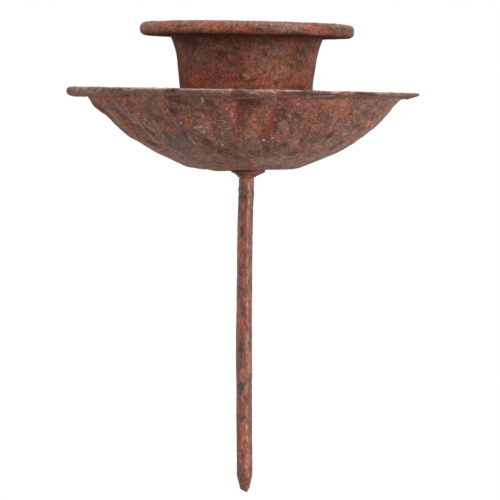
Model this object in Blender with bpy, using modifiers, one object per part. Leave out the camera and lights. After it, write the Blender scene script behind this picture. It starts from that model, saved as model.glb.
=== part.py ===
"""A taper candle holder on a spike, for pushing into a wreath, a pot or floral foam.

A flared sheet-metal cup stands in a fluted drip dish. Both are held to the spike by its tenon, which
passes through a conical collar, the dish, the cup's floor and a washer, and is peened over on top.

Metres, +Z up. The origin is on the spike's axis, level with the underside of the dish.
"""

import math

import bmesh
import bpy
from mathutils import Matrix

# Gaps that keep neighbouring solids apart
SEAT_GAP = 0.0003
TENON_CLEARANCE = 0.0002

# Spike: a round rod with a blunt cropped point and a tenon on top
SPIKE_DIAMETER = 0.0030
SPIKE_REACH = 0.0648
POINT_LENGTH = 0.0034
POINT_DIAMETER = 0.0018
CROP_ANGLE = math.radians(30)
TENON_DIAMETER = 0.0020
RIVET_HEAD_DIAMETER = 0.0042
RIVET_HEAD_HEIGHT = 0.0009

# Conical collar under the dish
COLLAR_DIAMETER = 0.0070
COLLAR_NECK_DIAMETER = 0.0034
COLLAR_EDGE = 0.0003
COLLAR_HEIGHT = 0.0012

# Washer under the peened head
WASHER_DIAMETER = 0.0090
WASHER_THICKNESS = 0.0006

# Cup, measured over its outside, with heights above the underside of its floor
CUP_SHEET = 0.0007
CUP_HEIGHT = 0.0285
CUP_BASE_DIAMETER = 0.0230
CUP_BASE_FILLET = 0.0012
WAIST_DIAMETER = 0.0282
WAIST_HEIGHT = 0.0226
WAIST_FILLET = 0.0200
THROAT_DIAMETER = 0.0324
THROAT_FILLET = 0.0022
BRIM_DIAMETER = 0.0430
BRIM_THICKNESS = 0.0028
BRIM_TOP_FILLET = 0.0010
BRIM_BOTTOM_FILLET = 0.0006
BRIM_RETURN_LENGTH = 0.0053

# Dish, with heights above its underside
DISH_SHEET = 0.0006
DISH_DIAMETER = 0.0704
DISH_DEPTH = 0.0159
FLOOR_FILLET = 0.0060
BELLY_DIAMETER = 0.0469
BELLY_HEIGHT = 0.0061
BELLY_FILLET = 0.0400
LIP_WIDTH = 0.0034
LIP_FILLET = 0.0012
HEM_THICKNESS = 0.0016
HEM_LENGTH = 0.0020

# Flutes pressed into the dish from outside
FLUTE_COUNT = 24
FLUTE_DEPTH = 0.0008
LIP_FLUTE_DEPTH = 0.0003
FLUTE_TURN = math.radians(1.2)

# How finely round shapes are divided
CUP_STEPS = 48
DISH_STEPS_PER_FLUTE = 4
ROD_STEPS = 24
ARC_TOLERANCE = 0.00004
MERGE_DISTANCE = 0.00001
SHARP_ANGLE = math.radians(40)

# The most of a straight side that one fillet may take, and the least turn that gets a fillet
FILLET_SHARE = 0.49
LEAST_TURN = math.radians(1)

# Levels of the stack, each worked out from the piece below it
dish_floor_top = DISH_SHEET
cup_bottom = dish_floor_top + SEAT_GAP
cup_floor_top = cup_bottom + CUP_SHEET
washer_bottom = cup_floor_top + SEAT_GAP
washer_top = washer_bottom + WASHER_THICKNESS
rivet_head_bottom = washer_top + SEAT_GAP
rivet_head_top = rivet_head_bottom + RIVET_HEAD_HEIGHT
collar_top = -SEAT_GAP
collar_bottom = collar_top - COLLAR_HEIGHT
shank_top = collar_bottom - SEAT_GAP
tenon_radius = TENON_DIAMETER / 2
hole_radius = tenon_radius + TENON_CLEARANCE
cup_foot_radius = CUP_BASE_DIAMETER / 2 - CUP_BASE_FILLET - CUP_SHEET / 2

# Finish of each piece: colour, roughness and metallic value
FINISHES = {
    "rusted_cup": ((0.165, 0.058, 0.036), 0.82, 0.15),
    "rusted_dish": ((0.180, 0.086, 0.062), 0.84, 0.15),
    "rusted_spike": ((0.240, 0.100, 0.074), 0.74, 0.20),
    "rusted_fastener": ((0.120, 0.050, 0.034), 0.85, 0.20),
}


def clear_scene():
    for obj in list(bpy.data.objects):
        bpy.data.objects.remove(obj)


def new_collection(name):
    collection = bpy.data.collections.new(name)
    bpy.context.scene.collection.children.link(collection)
    return collection


def rusted(slot):
    """The painted-rust material of one slot."""
    colour, roughness, metallic = FINISHES[slot]
    material = bpy.data.materials.get(slot) or bpy.data.materials.new(slot)
    material.use_nodes = True
    shader = material.node_tree.nodes["Principled BSDF"]
    shader.inputs["Base Color"].default_value = (*colour, 1)
    shader.inputs["Roughness"].default_value = roughness
    shader.inputs["Metallic"].default_value = metallic
    material.diffuse_color = (*colour, 1)
    return material


def arc_points(before, corner, after, radius):
    """Points (r, z) that round the corner of an outline, kept within half of each side."""
    to_before = (before[0] - corner[0], before[1] - corner[1])
    to_after = (after[0] - corner[0], after[1] - corner[1])
    length_before, length_after = math.hypot(*to_before), math.hypot(*to_after)
    u = (to_before[0] / length_before, to_before[1] / length_before)
    v = (to_after[0] / length_after, to_after[1] / length_after)
    inside = math.acos(max(-1.0, min(1.0, u[0] * v[0] + u[1] * v[1])))
    turn = math.pi - inside
    if turn < LEAST_TURN:
        return [corner]
    longest = FILLET_SHARE * min(length_before, length_after)
    reach = min(radius * math.tan(turn / 2), longest)
    radius = reach / math.tan(turn / 2)
    middle = (u[0] + v[0], u[1] + v[1])
    to_centre = radius / math.sin(inside / 2) / math.hypot(*middle)
    centre = (corner[0] + middle[0] * to_centre, corner[1] + middle[1] * to_centre)
    start = math.atan2(corner[1] + u[1] * reach - centre[1], corner[0] + u[0] * reach - centre[0])
    end = math.atan2(corner[1] + v[1] * reach - centre[1], corner[0] + v[0] * reach - centre[0])
    sweep = (end - start + math.pi) % (2 * math.pi) - math.pi
    step = 2 * math.acos(max(0, 1 - ARC_TOLERANCE / radius))
    count = max(2, math.ceil(abs(sweep) / step))
    angles = [start + sweep * k / count for k in range(count + 1)]
    return [(centre[0] + radius * math.cos(a), centre[1] + radius * math.sin(a)) for a in angles]


def rounded(corners):
    """An open outline through corners ((r, z), fillet), each rounded by its fillet."""
    points = [corners[0][0]]
    for before, (corner, fillet), after in zip(corners, corners[1:], corners[2:]):
        points += arc_points(before[0], corner, after[0], fillet)
    return points + [corners[-1][0]]


def turned(name, outline, steps, parts):
    """An object made by turning an outline of (r, z) points round the Z axis."""
    mesh = bpy.data.meshes.new(name)
    edges = [(k, k + 1) for k in range(len(outline) - 1)]
    mesh.from_pydata([(r, 0, z) for r, z in outline], edges, [])
    obj = bpy.data.objects.new(name, mesh)
    parts.objects.link(obj)
    screw = obj.modifiers.new("turn", "SCREW")
    screw.axis = "Z"
    screw.angle = 2 * math.pi
    screw.steps = screw.render_steps = steps
    screw.use_merge_vertices = True
    screw.merge_threshold = MERGE_DISTANCE
    return obj


def settle(obj):
    """Turns the object's modifiers into its mesh, so that its points can be moved."""
    bpy.context.view_layer.update()
    evaluated = obj.evaluated_get(bpy.context.evaluated_depsgraph_get())
    mesh = bpy.data.meshes.new_from_object(evaluated)
    obj.modifiers.clear()
    obj.data = mesh


def thicken(obj, sheet):
    """Gives an open surface the thickness of its sheet, half on each side."""
    solidify = obj.modifiers.new("sheet", "SOLIDIFY")
    solidify.thickness = sheet
    solidify.offset = 0
    solidify.use_even_offset = True


def finish(obj, slot):
    settle(obj)
    obj.data.materials.clear()
    obj.data.materials.append(rusted(slot))
    obj.data.shade_smooth()
    obj.data.set_sharp_from_angle(angle=SHARP_ANGLE)


def make_cup(parts):
    """The candle cup: a floor, a wall that flares to its mouth, and a brim whose edge is rolled under."""
    half_sheet = CUP_SHEET / 2
    floor = cup_bottom + half_sheet
    brim_top = cup_bottom + CUP_HEIGHT - half_sheet
    brim_bottom = cup_bottom + CUP_HEIGHT - BRIM_THICKNESS + half_sheet
    brim_edge = BRIM_DIAMETER / 2 - half_sheet
    outline = rounded(
        [
            ((hole_radius, floor), 0),
            ((CUP_BASE_DIAMETER / 2 - half_sheet, floor), CUP_BASE_FILLET),
            ((WAIST_DIAMETER / 2 - half_sheet, cup_bottom + WAIST_HEIGHT), WAIST_FILLET),
            ((THROAT_DIAMETER / 2 - half_sheet, brim_top), THROAT_FILLET),
            ((brim_edge, brim_top), BRIM_TOP_FILLET),
            ((brim_edge, brim_bottom), BRIM_BOTTOM_FILLET),
            ((brim_edge - BRIM_RETURN_LENGTH, brim_bottom), 0),
        ]
    )
    cup = turned("candle_cup", outline, CUP_STEPS, parts)
    thicken(cup, CUP_SHEET)
    finish(cup, "rusted_cup")


def groove(angle):
    """How deep the flutes are at an angle round the dish, from 0 on a crest to 1 in a groove."""
    return 1 - abs(math.sin(FLUTE_COUNT * angle / 2))


def flute_depth(radius):
    """The flutes' depth at a radius: none on the floor, full at the belly, less on the lip."""
    floor_edge = cup_foot_radius + DISH_SHEET
    belly = BELLY_DIAMETER / 2
    lip_start = DISH_DIAMETER / 2 - LIP_WIDTH
    if radius > lip_start:
        return LIP_FLUTE_DEPTH
    if radius > belly:
        share = (radius - belly) / (lip_start - belly)
        return FLUTE_DEPTH + (LIP_FLUTE_DEPTH - FLUTE_DEPTH) * share**3
    return FLUTE_DEPTH * max(0, (radius - floor_edge) / (belly - floor_edge))


def make_dish(parts):
    """The drip dish: a flat floor under the cup, a fluted bowl and a flat lip with a hemmed edge."""
    half_sheet = DISH_SHEET / 2
    floor = half_sheet
    lip = DISH_DEPTH - half_sheet
    hem = DISH_DEPTH - HEM_THICKNESS + half_sheet
    hem_fillet = (lip - hem) / 2
    edge = DISH_DIAMETER / 2 - half_sheet
    outline = rounded(
        [
            ((hole_radius, floor), 0),
            ((cup_foot_radius, floor), FLOOR_FILLET),
            ((BELLY_DIAMETER / 2, BELLY_HEIGHT), BELLY_FILLET),
            ((DISH_DIAMETER / 2 - LIP_WIDTH, lip), LIP_FILLET),
            ((edge, lip), hem_fillet),
            ((edge, hem), hem_fillet),
            ((edge - HEM_LENGTH, hem), 0),
        ]
    )
    dish = turned("drip_dish", outline, FLUTE_COUNT * DISH_STEPS_PER_FLUTE, parts)
    settle(dish)
    for vertex in dish.data.vertices:
        x, y, _ = vertex.co
        radius = math.hypot(x, y)
        pressed = radius - flute_depth(radius) * groove(math.atan2(y, x))
        vertex.co.x *= pressed / radius
        vertex.co.y *= pressed / radius
    thicken(dish, DISH_SHEET)
    finish(dish, "rusted_dish")
    dish.rotation_euler = (0, 0, FLUTE_TURN)


def make_collar(parts):
    """The conical collar between the shank's shoulder and the dish."""
    outline = [
        (hole_radius, collar_top),
        (COLLAR_DIAMETER / 2, collar_top),
        (COLLAR_DIAMETER / 2, collar_top - COLLAR_EDGE),
        (COLLAR_NECK_DIAMETER / 2, collar_bottom),
        (hole_radius, collar_bottom),
    ]
    collar = turned("spike_collar", outline + outline[:1], ROD_STEPS, parts)
    finish(collar, "rusted_fastener")


def make_washer(parts):
    """The washer on the cup's floor, under the peened head."""
    outline = [
        (hole_radius, washer_top),
        (WASHER_DIAMETER / 2, washer_top),
        (WASHER_DIAMETER / 2, washer_bottom),
        (hole_radius, washer_bottom),
    ]
    washer = turned("rivet_washer", outline + outline[:1], ROD_STEPS, parts)
    finish(washer, "rusted_fastener")


def make_crop_cutter(cutters):
    """A block whose slanted top face crops the point of the spike."""
    size = 4 * SPIKE_DIAMETER
    mesh = bpy.data.meshes.new("crop_cutter")
    shape = bmesh.new()
    bmesh.ops.create_cube(shape, size=size, matrix=Matrix.Translation((0, 0, -size / 2)))
    shape.to_mesh(mesh)
    shape.free()
    cutter = bpy.data.objects.new("crop_cutter", mesh)
    cutters.objects.link(cutter)
    rise = POINT_DIAMETER / 2 * math.tan(CROP_ANGLE)
    cutter.location = (0, 0, rise - SPIKE_REACH)
    cutter.rotation_euler = (0, CROP_ANGLE, 0)
    cutter.hide_render = True
    cutter.display_type = "WIRE"
    return cutter


def make_spike(parts, cutters):
    """The spike: cropped point, shank, tenon and the head peened over the washer, in one piece."""
    shank = SPIKE_DIAMETER / 2
    outline = [
        (0, rivet_head_top),
        (RIVET_HEAD_DIAMETER / 2 - RIVET_HEAD_HEIGHT / 2, rivet_head_top),
        (RIVET_HEAD_DIAMETER / 2, rivet_head_top - RIVET_HEAD_HEIGHT / 2),
        (RIVET_HEAD_DIAMETER / 2, rivet_head_bottom),
        (tenon_radius, rivet_head_bottom),
        (tenon_radius, shank_top),
        (shank, shank_top),
        (shank, POINT_LENGTH - SPIKE_REACH),
        (POINT_DIAMETER / 2, -SPIKE_REACH),
        (0, -SPIKE_REACH),
    ]
    spike = turned("spike", outline, ROD_STEPS, parts)
    settle(spike)
    crop = spike.modifiers.new("crop", "BOOLEAN")
    crop.operation = "DIFFERENCE"
    crop.object = make_crop_cutter(cutters)
    finish(spike, "rusted_spike")


def main():
    clear_scene()
    parts = new_collection("taper_candle_holder")
    cutters = new_collection("cutters")
    make_cup(parts)
    make_dish(parts)
    make_collar(parts)
    make_washer(parts)
    make_spike(parts, cutters)


main()
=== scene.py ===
"""The looks of a taper candle holder in rusted sheet metal: a flared cup in a fluted drip dish on a spike.

Each piece is a closed shell turned round the Z axis, then dented, fluted, bent and pitted point by point,
and painted with layers of procedural rust, some of them painted light and shade. Metres, +Z up.
"""

import math

import bpy
import numpy as np
from mathutils import Matrix, Vector, noise


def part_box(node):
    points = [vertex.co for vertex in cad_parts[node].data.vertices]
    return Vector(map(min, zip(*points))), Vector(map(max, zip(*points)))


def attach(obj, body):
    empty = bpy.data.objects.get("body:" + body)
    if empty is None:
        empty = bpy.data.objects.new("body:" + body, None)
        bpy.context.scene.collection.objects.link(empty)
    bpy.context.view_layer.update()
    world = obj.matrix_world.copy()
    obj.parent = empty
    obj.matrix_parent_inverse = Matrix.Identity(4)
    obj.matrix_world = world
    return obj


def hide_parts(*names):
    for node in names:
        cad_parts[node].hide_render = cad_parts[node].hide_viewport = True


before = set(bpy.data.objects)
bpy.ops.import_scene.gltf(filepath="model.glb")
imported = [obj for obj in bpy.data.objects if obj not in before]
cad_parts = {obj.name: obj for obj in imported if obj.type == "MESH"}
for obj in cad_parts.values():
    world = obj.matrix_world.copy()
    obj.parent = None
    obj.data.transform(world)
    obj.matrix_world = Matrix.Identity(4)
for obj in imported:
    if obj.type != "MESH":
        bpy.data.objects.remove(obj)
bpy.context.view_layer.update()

MM = 0.001

# The camera, and the photograph's frame in pixels
CAMERA_PLACE = Vector((0.001, -0.5, 0.013))
CAMERA_AIM = Vector((0.001, 0, -0.016))
CAMERA_ROLL = math.radians(0.8)
LENS, SENSOR = 180, 36
PHOTO_SIZE = 500

# Places of the pieces, read from the CAD parts in model.glb
cup_low, cup_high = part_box("candle_cup")
dish_low, dish_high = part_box("drip_dish")
spike_low, spike_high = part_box("spike")
collar_low, collar_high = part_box("spike_collar")
washer_low, washer_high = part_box("rivet_washer")

# Cup, as in the CAD model
CUP_SHEET = 0.7 * MM
CUP_BASE_RADIUS = 11.5 * MM
CUP_BASE_FILLET = 1.2 * MM
WAIST_RADIUS = 14.1 * MM
WAIST_HEIGHT = 22.6 * MM
WAIST_FILLET = 20 * MM
THROAT_RADIUS = 16.2 * MM
THROAT_FILLET = 2.2 * MM
BRIM_THICKNESS = 2.8 * MM
BRIM_TOP_FILLET = 0.6 * MM
BRIM_BOTTOM_FILLET = 0.65 * MM
BRIM_RETURN_LENGTH = 5.3 * MM

# How the cup leans, in metres down for each metre to the right, how far its neck sits to the left,
# how far its brim's top sinks, and how much smaller its brim's radius is
CUP_SLOPE = 0.004
NECK_SHIFT = 0.2 * MM
BRIM_SINK = 0.3 * MM
BRIM_TRIM = 0.17 * MM

# Heights above the cup's floor between which its dents and its lean set in, the width of the bands beside
# its edges, how far above its underside the brim starts, and how far in from its edge the painted shade on
# its underside sets in
CUP_CALM_LOW, CUP_CALM_HIGH = 0.5 * MM, 3 * MM
EDGE_BAND = 1 * MM
BRIM_START = 0.4 * MM
BRIM_DARKENS = (0.3 * MM, 1.6 * MM)

# Dish, as in the CAD model
DISH_SHEET = 0.6 * MM
FLOOR_RADIUS = 9.95 * MM
FLOOR_FILLET = 6 * MM
BELLY_RADIUS = 23.45 * MM
BELLY_HEIGHT = 6.1 * MM
BELLY_FILLET = 40 * MM
LIP_WIDTH = 3.4 * MM
LIP_FILLET = 1.2 * MM
HEM_THICKNESS = 1.6 * MM
HEM_LENGTH = 2.0 * MM
HEM_TOP_FILLET = 0.25 * MM

# How the dish leans and sits off the spike's axis, and how it was beaten out of round
DISH_SLOPE = 0.0045
BOWL_SHIFT = 0.45 * MM
LIP_SHIFT = 0.38 * MM
LIP_TRIM = 0.05 * MM
BOWL_SWELL = 0.25 * MM
LEFT_SWELL = 0.35 * MM
HEM_DROOP = 0.2 * MM
HEM_WAVES = 0.25 * MM
HEM_CHIPS = 0.13 * MM
WAVE_SIZE, CHIP_SIZE = 6 * MM, 1.4 * MM
FLOOR_LIFT_LEFT, FLOOR_LIFT_RIGHT = 0.12 * MM, 0.3 * MM
BOSS_RADIUS = 3.0 * MM

# Heights of the dish between which its upper bowl comes to its full shift and swell, its left swell fades,
# its lower shift grows, its lean grows, and the lift of its floor ends
HIGH_BOWL = (9 * MM, 12.5 * MM)
LEFT_SWELL_FADES = (14.5 * MM, 12 * MM)
SHIFT_GROWS = (0.8 * MM, 5 * MM)
LEAN_GROWS = (5 * MM, 14 * MM)
LOW_FLOOR = (4 * MM, 1 * MM)

# How far into the bowl the lip's changes begin, how far under the boss the floor's lift does, and the width
# over which the lift on the left gives way to the one on the right
LIP_LEAD, LIP_BLEND, BOSS_BLEND = 0.6 * MM, 0.5 * MM, 0.8 * MM
FLOOR_TILTS_OVER = (-5 * MM, 5 * MM)

# Shares of the lip's width between which its chips set in, and of the way round to the side, for the lifts
CHIPS_START = (0.6, 0.95)
LIFTS_START = (0.3, 0.85)

# How far in from its edge the lip is worn and lit by a painted highlight, and has its own tone, how far
# below the lip that tone sets in and is full on the outside, how strong it is there, and the radii between
# which dents set in
WORN_AND_LIT_WIDTH, HEM_TONE_WIDTH = 0.8 * MM, 0.9 * MM
TONE_DROP_LOW, TONE_DROP_HIGH = 3.4 * MM, 1.6 * MM
OUTSIDE_TONE = 0.35
DISH_CALM = (8 * MM, 13 * MM)

# How thin the hem is hammered: place across the dish, from -1 at its left to 1 at its right, and the
# share of its thickness that is lost there
HEM_THINNING = (
    (-1, 0), (-0.78, 0), (-0.66, 0.55), (-0.15, 0.5), (-0.02, 0.1), (0.18, 0.1), (0.3, 0.45), (0.6, 0.6),
    (0.97, 0.72), (1, 0.72),
)

# How far the bowl's wall is beaten up or down on its left and on its right, in millimetres: radius, lift
LEFT_LIFTS = (
    (3, -0.2), (4.5, -0.32), (6.5, -0.34), (8.3, 0), (10.5, -0.06), (12, -0.42), (14.3, -0.33), (16.7, -0.14),
    (18, 0), (19.2, 0.24), (20.5, 0.32), (21.5, 0.32), (22.8, 0.03), (24, 0.06), (25.5, 0.04), (26.5, 0),
    (27.7, 0.16), (28.9, 0.02), (30.1, -0.22), (31, -0.1), (31.8, 0),
)
RIGHT_LIFTS = (
    (9, 0), (11.2, -0.02), (12.4, -0.06), (16, -0.05), (18, -0.02), (19, -0.03), (20.8, 0.1), (22, 0.13),
    (23.2, 0.24), (25, 0.26), (26.2, 0.1), (27.6, -0.03), (29, -0.07), (30.2, 0.22), (31.4, -0.08), (32, 0),
)

# Flutes: how deep they are, where the grooves lie in front, in degrees to the right of the camera, how many
# flutes lie behind, how round and how narrow the grooves are, and how far they swirl down the bowl's left
FLUTE_DEPTH = 1.0 * MM
LIP_FLUTE_DEPTH = 0.3 * MM
FRONT_GROOVES = (-70.5, -56, -41.5, -26.7, -12.2, -0.6, 13.3, 29.7, 45.2, 58.5, 73)
FLUTES_BEHIND = 14
GROOVE_ROUNDING, GROOVE_SHARPNESS = 0.004, 1.4
FLUTE_SWIRL = math.radians(8)

# Spike, as in the CAD model
SPIKE_RADIUS = 1.54 * MM
POINT_LENGTH = 3.4 * MM
POINT_RADIUS = 0.95 * MM
TENON_RADIUS = 1.0 * MM
HOLE_RADIUS = 1.2 * MM
HEAD_HEIGHT = 0.9 * MM
HEAD_RADIUS = 2.1 * MM
COLLAR_TOP_RADIUS = 3.6 * MM

# The collar's flared outline below its top, in millimetres: radius, height
COLLAR_FLARE = (
    (3.46, -0.28), (3.38, -0.45), (3.02, -0.6), (2.6, -0.8), (2.28, -1.0), (1.94, -1.2), (1.74, -1.4),
    (1.62, -1.5),
)

# How far the collar's top rises towards the dish's uneven floor on the left and on the right, and how far
# the collar sits to the right at its foot and at its top
COLLAR_RISE_LEFT, COLLAR_RISE_RIGHT = 0.2 * MM, 0.6 * MM
COLLAR_SHIFT_LOW, COLLAR_SHIFT_HIGH = 0.08 * MM, 0.35 * MM

# The spike's ends before they are hammered and cropped: how small a ring closes them, how much longer the
# point is, and how far below the collar the shoulder lies
CENTRE_RADIUS = 0.02 * MM
CROP_ALLOWANCE = 0.2 * MM
SHOULDER_GAP = 0.02 * MM

# The spike's bend to the right near its point, the slant of its cropped end and the slant that blunts it
BEND_START = 30 * MM
BEND_LENGTH = 35 * MM
BEND = 0.6 * MM
BEND_CURVE = 1.6
CROP_SLOPE = 0.45
BLUNT_SLOPE = 1.6
BLUNT_START = 0.45 * MM

# How the rod strays from a straight round one, in millimetres: height, shift to the right, swell
ROD_STRAYS = (
    (-1.6, 0.10, 0.02), (-3.2, 0.07, 0.03), (-4.0, 0.02, 0.08), (-4.8, 0.09, 0.05), (-5.6, 0.04, 0.04),
    (-6.5, 0, 0), (-16, -0.06, 0.02), (-22, -0.03, 0.01), (-28, 0.02, 0.04), (-34, 0.05, 0.11),
    (-38, 0.06, 0.08), (-42, 0.06, 0.06), (-46, 0.1, 0.06), (-50, 0.09, 0.09), (-54, 0.09, 0.03),
    (-60, 0.07, 0.06), (-61.7, 0.02, 0), (-62.5, 0.04, -0.04), (-63.3, 0.06, -0.12), (-64.4, 0.07, -0.08),
)

# How finely the pieces are divided: steps round the axis, and the distance between rings where they show
CUP_STEPS, DISH_STEPS, SPIKE_STEPS, COLLAR_STEPS, WASHER_STEPS = 352, 432, 72, 144, 112
SHEET_RINGS, SPIKE_RINGS, COLLAR_RINGS, WASHER_RINGS = 0.28 * MM, 0.18 * MM, 0.12 * MM, 0.15 * MM

# The distance between rings on the lip's edge and its top, inside the sheets, and where they are hidden
DISH_EDGE_RINGS, DISH_LIP_RINGS = 0.14 * MM, 0.3 * MM
CUP_INSIDE_RINGS, DISH_INSIDE_RINGS = 0.5 * MM, 0.55 * MM
CUP_HIDDEN_RINGS, DISH_HIDDEN_RINGS = 0.6 * MM, 0.5 * MM


def specks(half_width, strength, *places):
    """Strokes one pixel long that start at these places."""
    return [(x, y, x + 1, y, half_width, strength) for x, y in places]


# Strokes of paint and rust on the side that the photograph shows, in its pixels:
# x and y of one end, x and y of the other, half width, and strength, which has no unit
# Some strokes stand in for light and shade, as the comments in the lists say
STROKE_TONES = ("dark", "red", "maroon", "vivid", "slate", "ash", "salmon", "pale")
CUP_STROKES = {
    "dark": (
        # Brim
        (178, 27, 180, 25, 1.5, 0.6), (229, 29, 231, 31, 1.5, 0.4), (250, 27, 255, 31, 3, 0.35),
        (256, 29, 262, 31, 1.8, 0.7), (270, 30.5, 280, 31, 1.3, 0.7), (285, 22.5, 315, 23.5, 1.5, 0.4),
        (292, 33, 305, 34, 1.5, 0.7), (300, 29, 309, 31, 2, 0.5), (314, 24, 335, 25, 1.8, 0.7),
        (330, 29, 350, 30, 4, 0.65), (336, 31, 344, 35, 3, 0.5),
        # Wall; the first three strokes darken its left edge as painted shade
        (173, 42, 178, 62, 2, 0.7), (174, 40, 179, 64, 2.5, 0.4), (178, 62, 181, 86, 1.5, 0.5),
        (181, 40, 186, 50, 3, 0.5), (188, 41, 196, 44, 4, 0.7), (193, 46, 194, 49, 2, 0.8),
        (215, 40, 220, 39, 3, 0.5), (218, 58, 228, 60, 3, 0.4), (221, 53, 224, 54, 3.5, 0.8),
        (228, 43, 245, 41, 3, 0.5), (232, 52, 238, 58, 2.5, 0.5), (232, 65, 240, 62, 2.5, 0.5),
        (235, 48, 238, 47, 2.5, 0.7), (240, 74, 242, 79, 1.5, 0.5), (242, 64, 244, 70, 2, 0.5),
        (251, 80, 254, 80, 2, 0.8), (262, 43, 266, 41, 3, 0.6), (264, 51, 265, 54, 2, 0.6),
        (283, 87, 303, 88, 2.5, 0.5), (285, 64, 300, 70, 3, 0.4), (292, 56, 298, 62, 3, 0.6),
        (293, 66, 295, 67, 2.5, 0.5), (297, 51, 303, 53, 4, 0.8), (300, 62, 306, 63, 2.5, 0.6),
        (300, 66, 308, 67, 3, 0.5), (308, 42, 311, 48, 4, 0.6), (314, 66, 313, 86, 1.2, 0.7),
    ),
    "red": (
        # Brim
        (205, 27, 225, 27, 4, 0.8), (232, 28, 250, 28, 4.5, 0.9), (262, 33, 280, 34, 1.5, 0.6),
        (310, 28, 330, 31, 3.5, 0.8),
        # Wall
        (183, 52, 185, 66, 2, 0.6), (185, 76, 188, 88, 2.5, 0.6), (197, 78, 201, 80, 5, 0.8),
        (200, 87, 240, 85, 2.5, 0.9), (215, 41, 216, 47, 2.5, 0.5), (224, 60, 226, 64, 3, 0.5),
        (230, 73, 232, 71, 3.5, 0.7), (230, 74, 231, 80, 3, 0.6), (235, 38, 238, 44, 3, 0.5),
        (240, 83, 247, 84, 3, 0.8), (242, 58, 243, 76, 2.5, 0.4), (246, 58, 248, 66, 3.5, 0.5),
        (262, 84, 305, 85, 3.5, 0.9), (268, 78, 280, 80, 3, 0.6), (289, 44, 288, 50, 3, 0.6),
        (303, 62, 305, 70, 2.5, 0.5), (314, 50, 310, 84, 2.5, 0.4),
    ),
    # A dark red line just under the brim, as painted shade
    "maroon": ((186, 36, 250, 36, 2, 0.6), (270, 36, 330, 37, 2, 0.6)),
    "vivid": (
        (168, 23, 170, 25, 2, 0.4), (195, 78, 216, 72, 5, 0.35), (197, 79, 203, 81, 3, 0.5),
        (213, 27, 216, 28, 2, 0.4), (229, 73, 232, 74, 2, 0.5), (238, 29, 246, 30, 2, 0.4),
        (246, 59, 247, 60, 2, 0.4), (257, 84, 264, 88, 3, 0.5), (321, 30, 325, 31, 2, 0.4),
    ),
    "slate": (
        # Brim
        (146, 27, 166, 28, 3, 0.45), (178, 28, 190, 27, 3, 0.4), (261, 25, 268, 26, 2, 0.6),
        (270, 28, 278, 28, 2, 0.7), (280, 27, 292, 28, 2.5, 0.55),
        # Wall
        (185, 62, 188, 70, 2, 0.5), (188, 42, 190, 64, 2.5, 0.5), (204, 39, 200, 44, 4, 0.5),
        (200, 52, 203, 68, 4, 0.9), (212, 80, 218, 78, 3, 0.4), (222, 48, 232, 54, 3.5, 0.5),
        (255, 73, 259, 84, 2.5, 0.5), (263, 45, 280, 46, 2, 0.5), (277, 51, 282, 54, 4, 0.7),
        (314, 44, 312, 84, 2, 0.6),
    ),
    "ash": (
        (146, 26, 168, 25, 4, 0.7), (200, 23, 245, 24, 1.5, 0.5), (244, 73, 248, 76, 3, 0.4),
        (256, 56, 275, 72, 5, 0.25), (278, 26, 291, 28, 3.5, 1), (290, 27, 304, 29, 3, 0.9),
        (301, 58, 305, 66, 3, 0.2), (304, 31, 316, 33, 2.5, 0.4), (336, 30, 350, 32, 4.5, 0.6),
    ),
    "salmon": (
        # Brim; the two strokes along its top at the left are painted highlight
        (150, 27, 190, 28, 4, 0.6), (168, 24, 176, 25, 4, 1), (174, 24, 190, 24, 2.5, 0.7),
        (200, 27, 215, 29, 4.5, 0.8), (225, 24, 235, 30, 3, 0.5), (270, 33, 280, 34, 1.5, 0.5),
        (305, 32, 325, 35, 2, 0.4), (306, 27, 312, 29, 2, 0.4),
        # Wall
        (188, 74, 215, 77, 4, 0.4), (196, 80, 203, 84, 6, 0.9), (200, 60, 203, 66, 2.5, 0.4),
        (204, 54, 202, 80, 6, 0.3), (206, 87, 228, 86, 4, 0.9), (230, 83, 245, 88, 3, 0.5),
        (252, 50, 253, 66, 2.5, 0.3), (252, 78, 262, 86, 5, 0.9), (256, 87, 285, 88, 3, 1),
        (262, 71, 276, 76, 4, 0.6), (277, 61, 278, 64, 3, 0.5), (288, 46, 289, 51, 2, 0.4),
    ),
    # The first stroke is a painted highlight along the brim's top; the small dabs are pale specks, some of
    # them painted glints on lumps
    "pale": (
        (168, 23.5, 188, 24, 1.8, 0.2), (210, 47, 211, 48, 0.4, 0.3), (219, 50, 220, 50, 0.5, 0.6),
        (237, 46, 238, 47, 0.5, 0.4), (243, 74, 247, 76, 0.7, 0.4), (254, 70, 256, 73, 0.5, 0.4),
        (262, 27, 266, 28, 0.9, 0.3), (300, 60, 302, 60, 0.5, 0.4),
    ),
}
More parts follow.
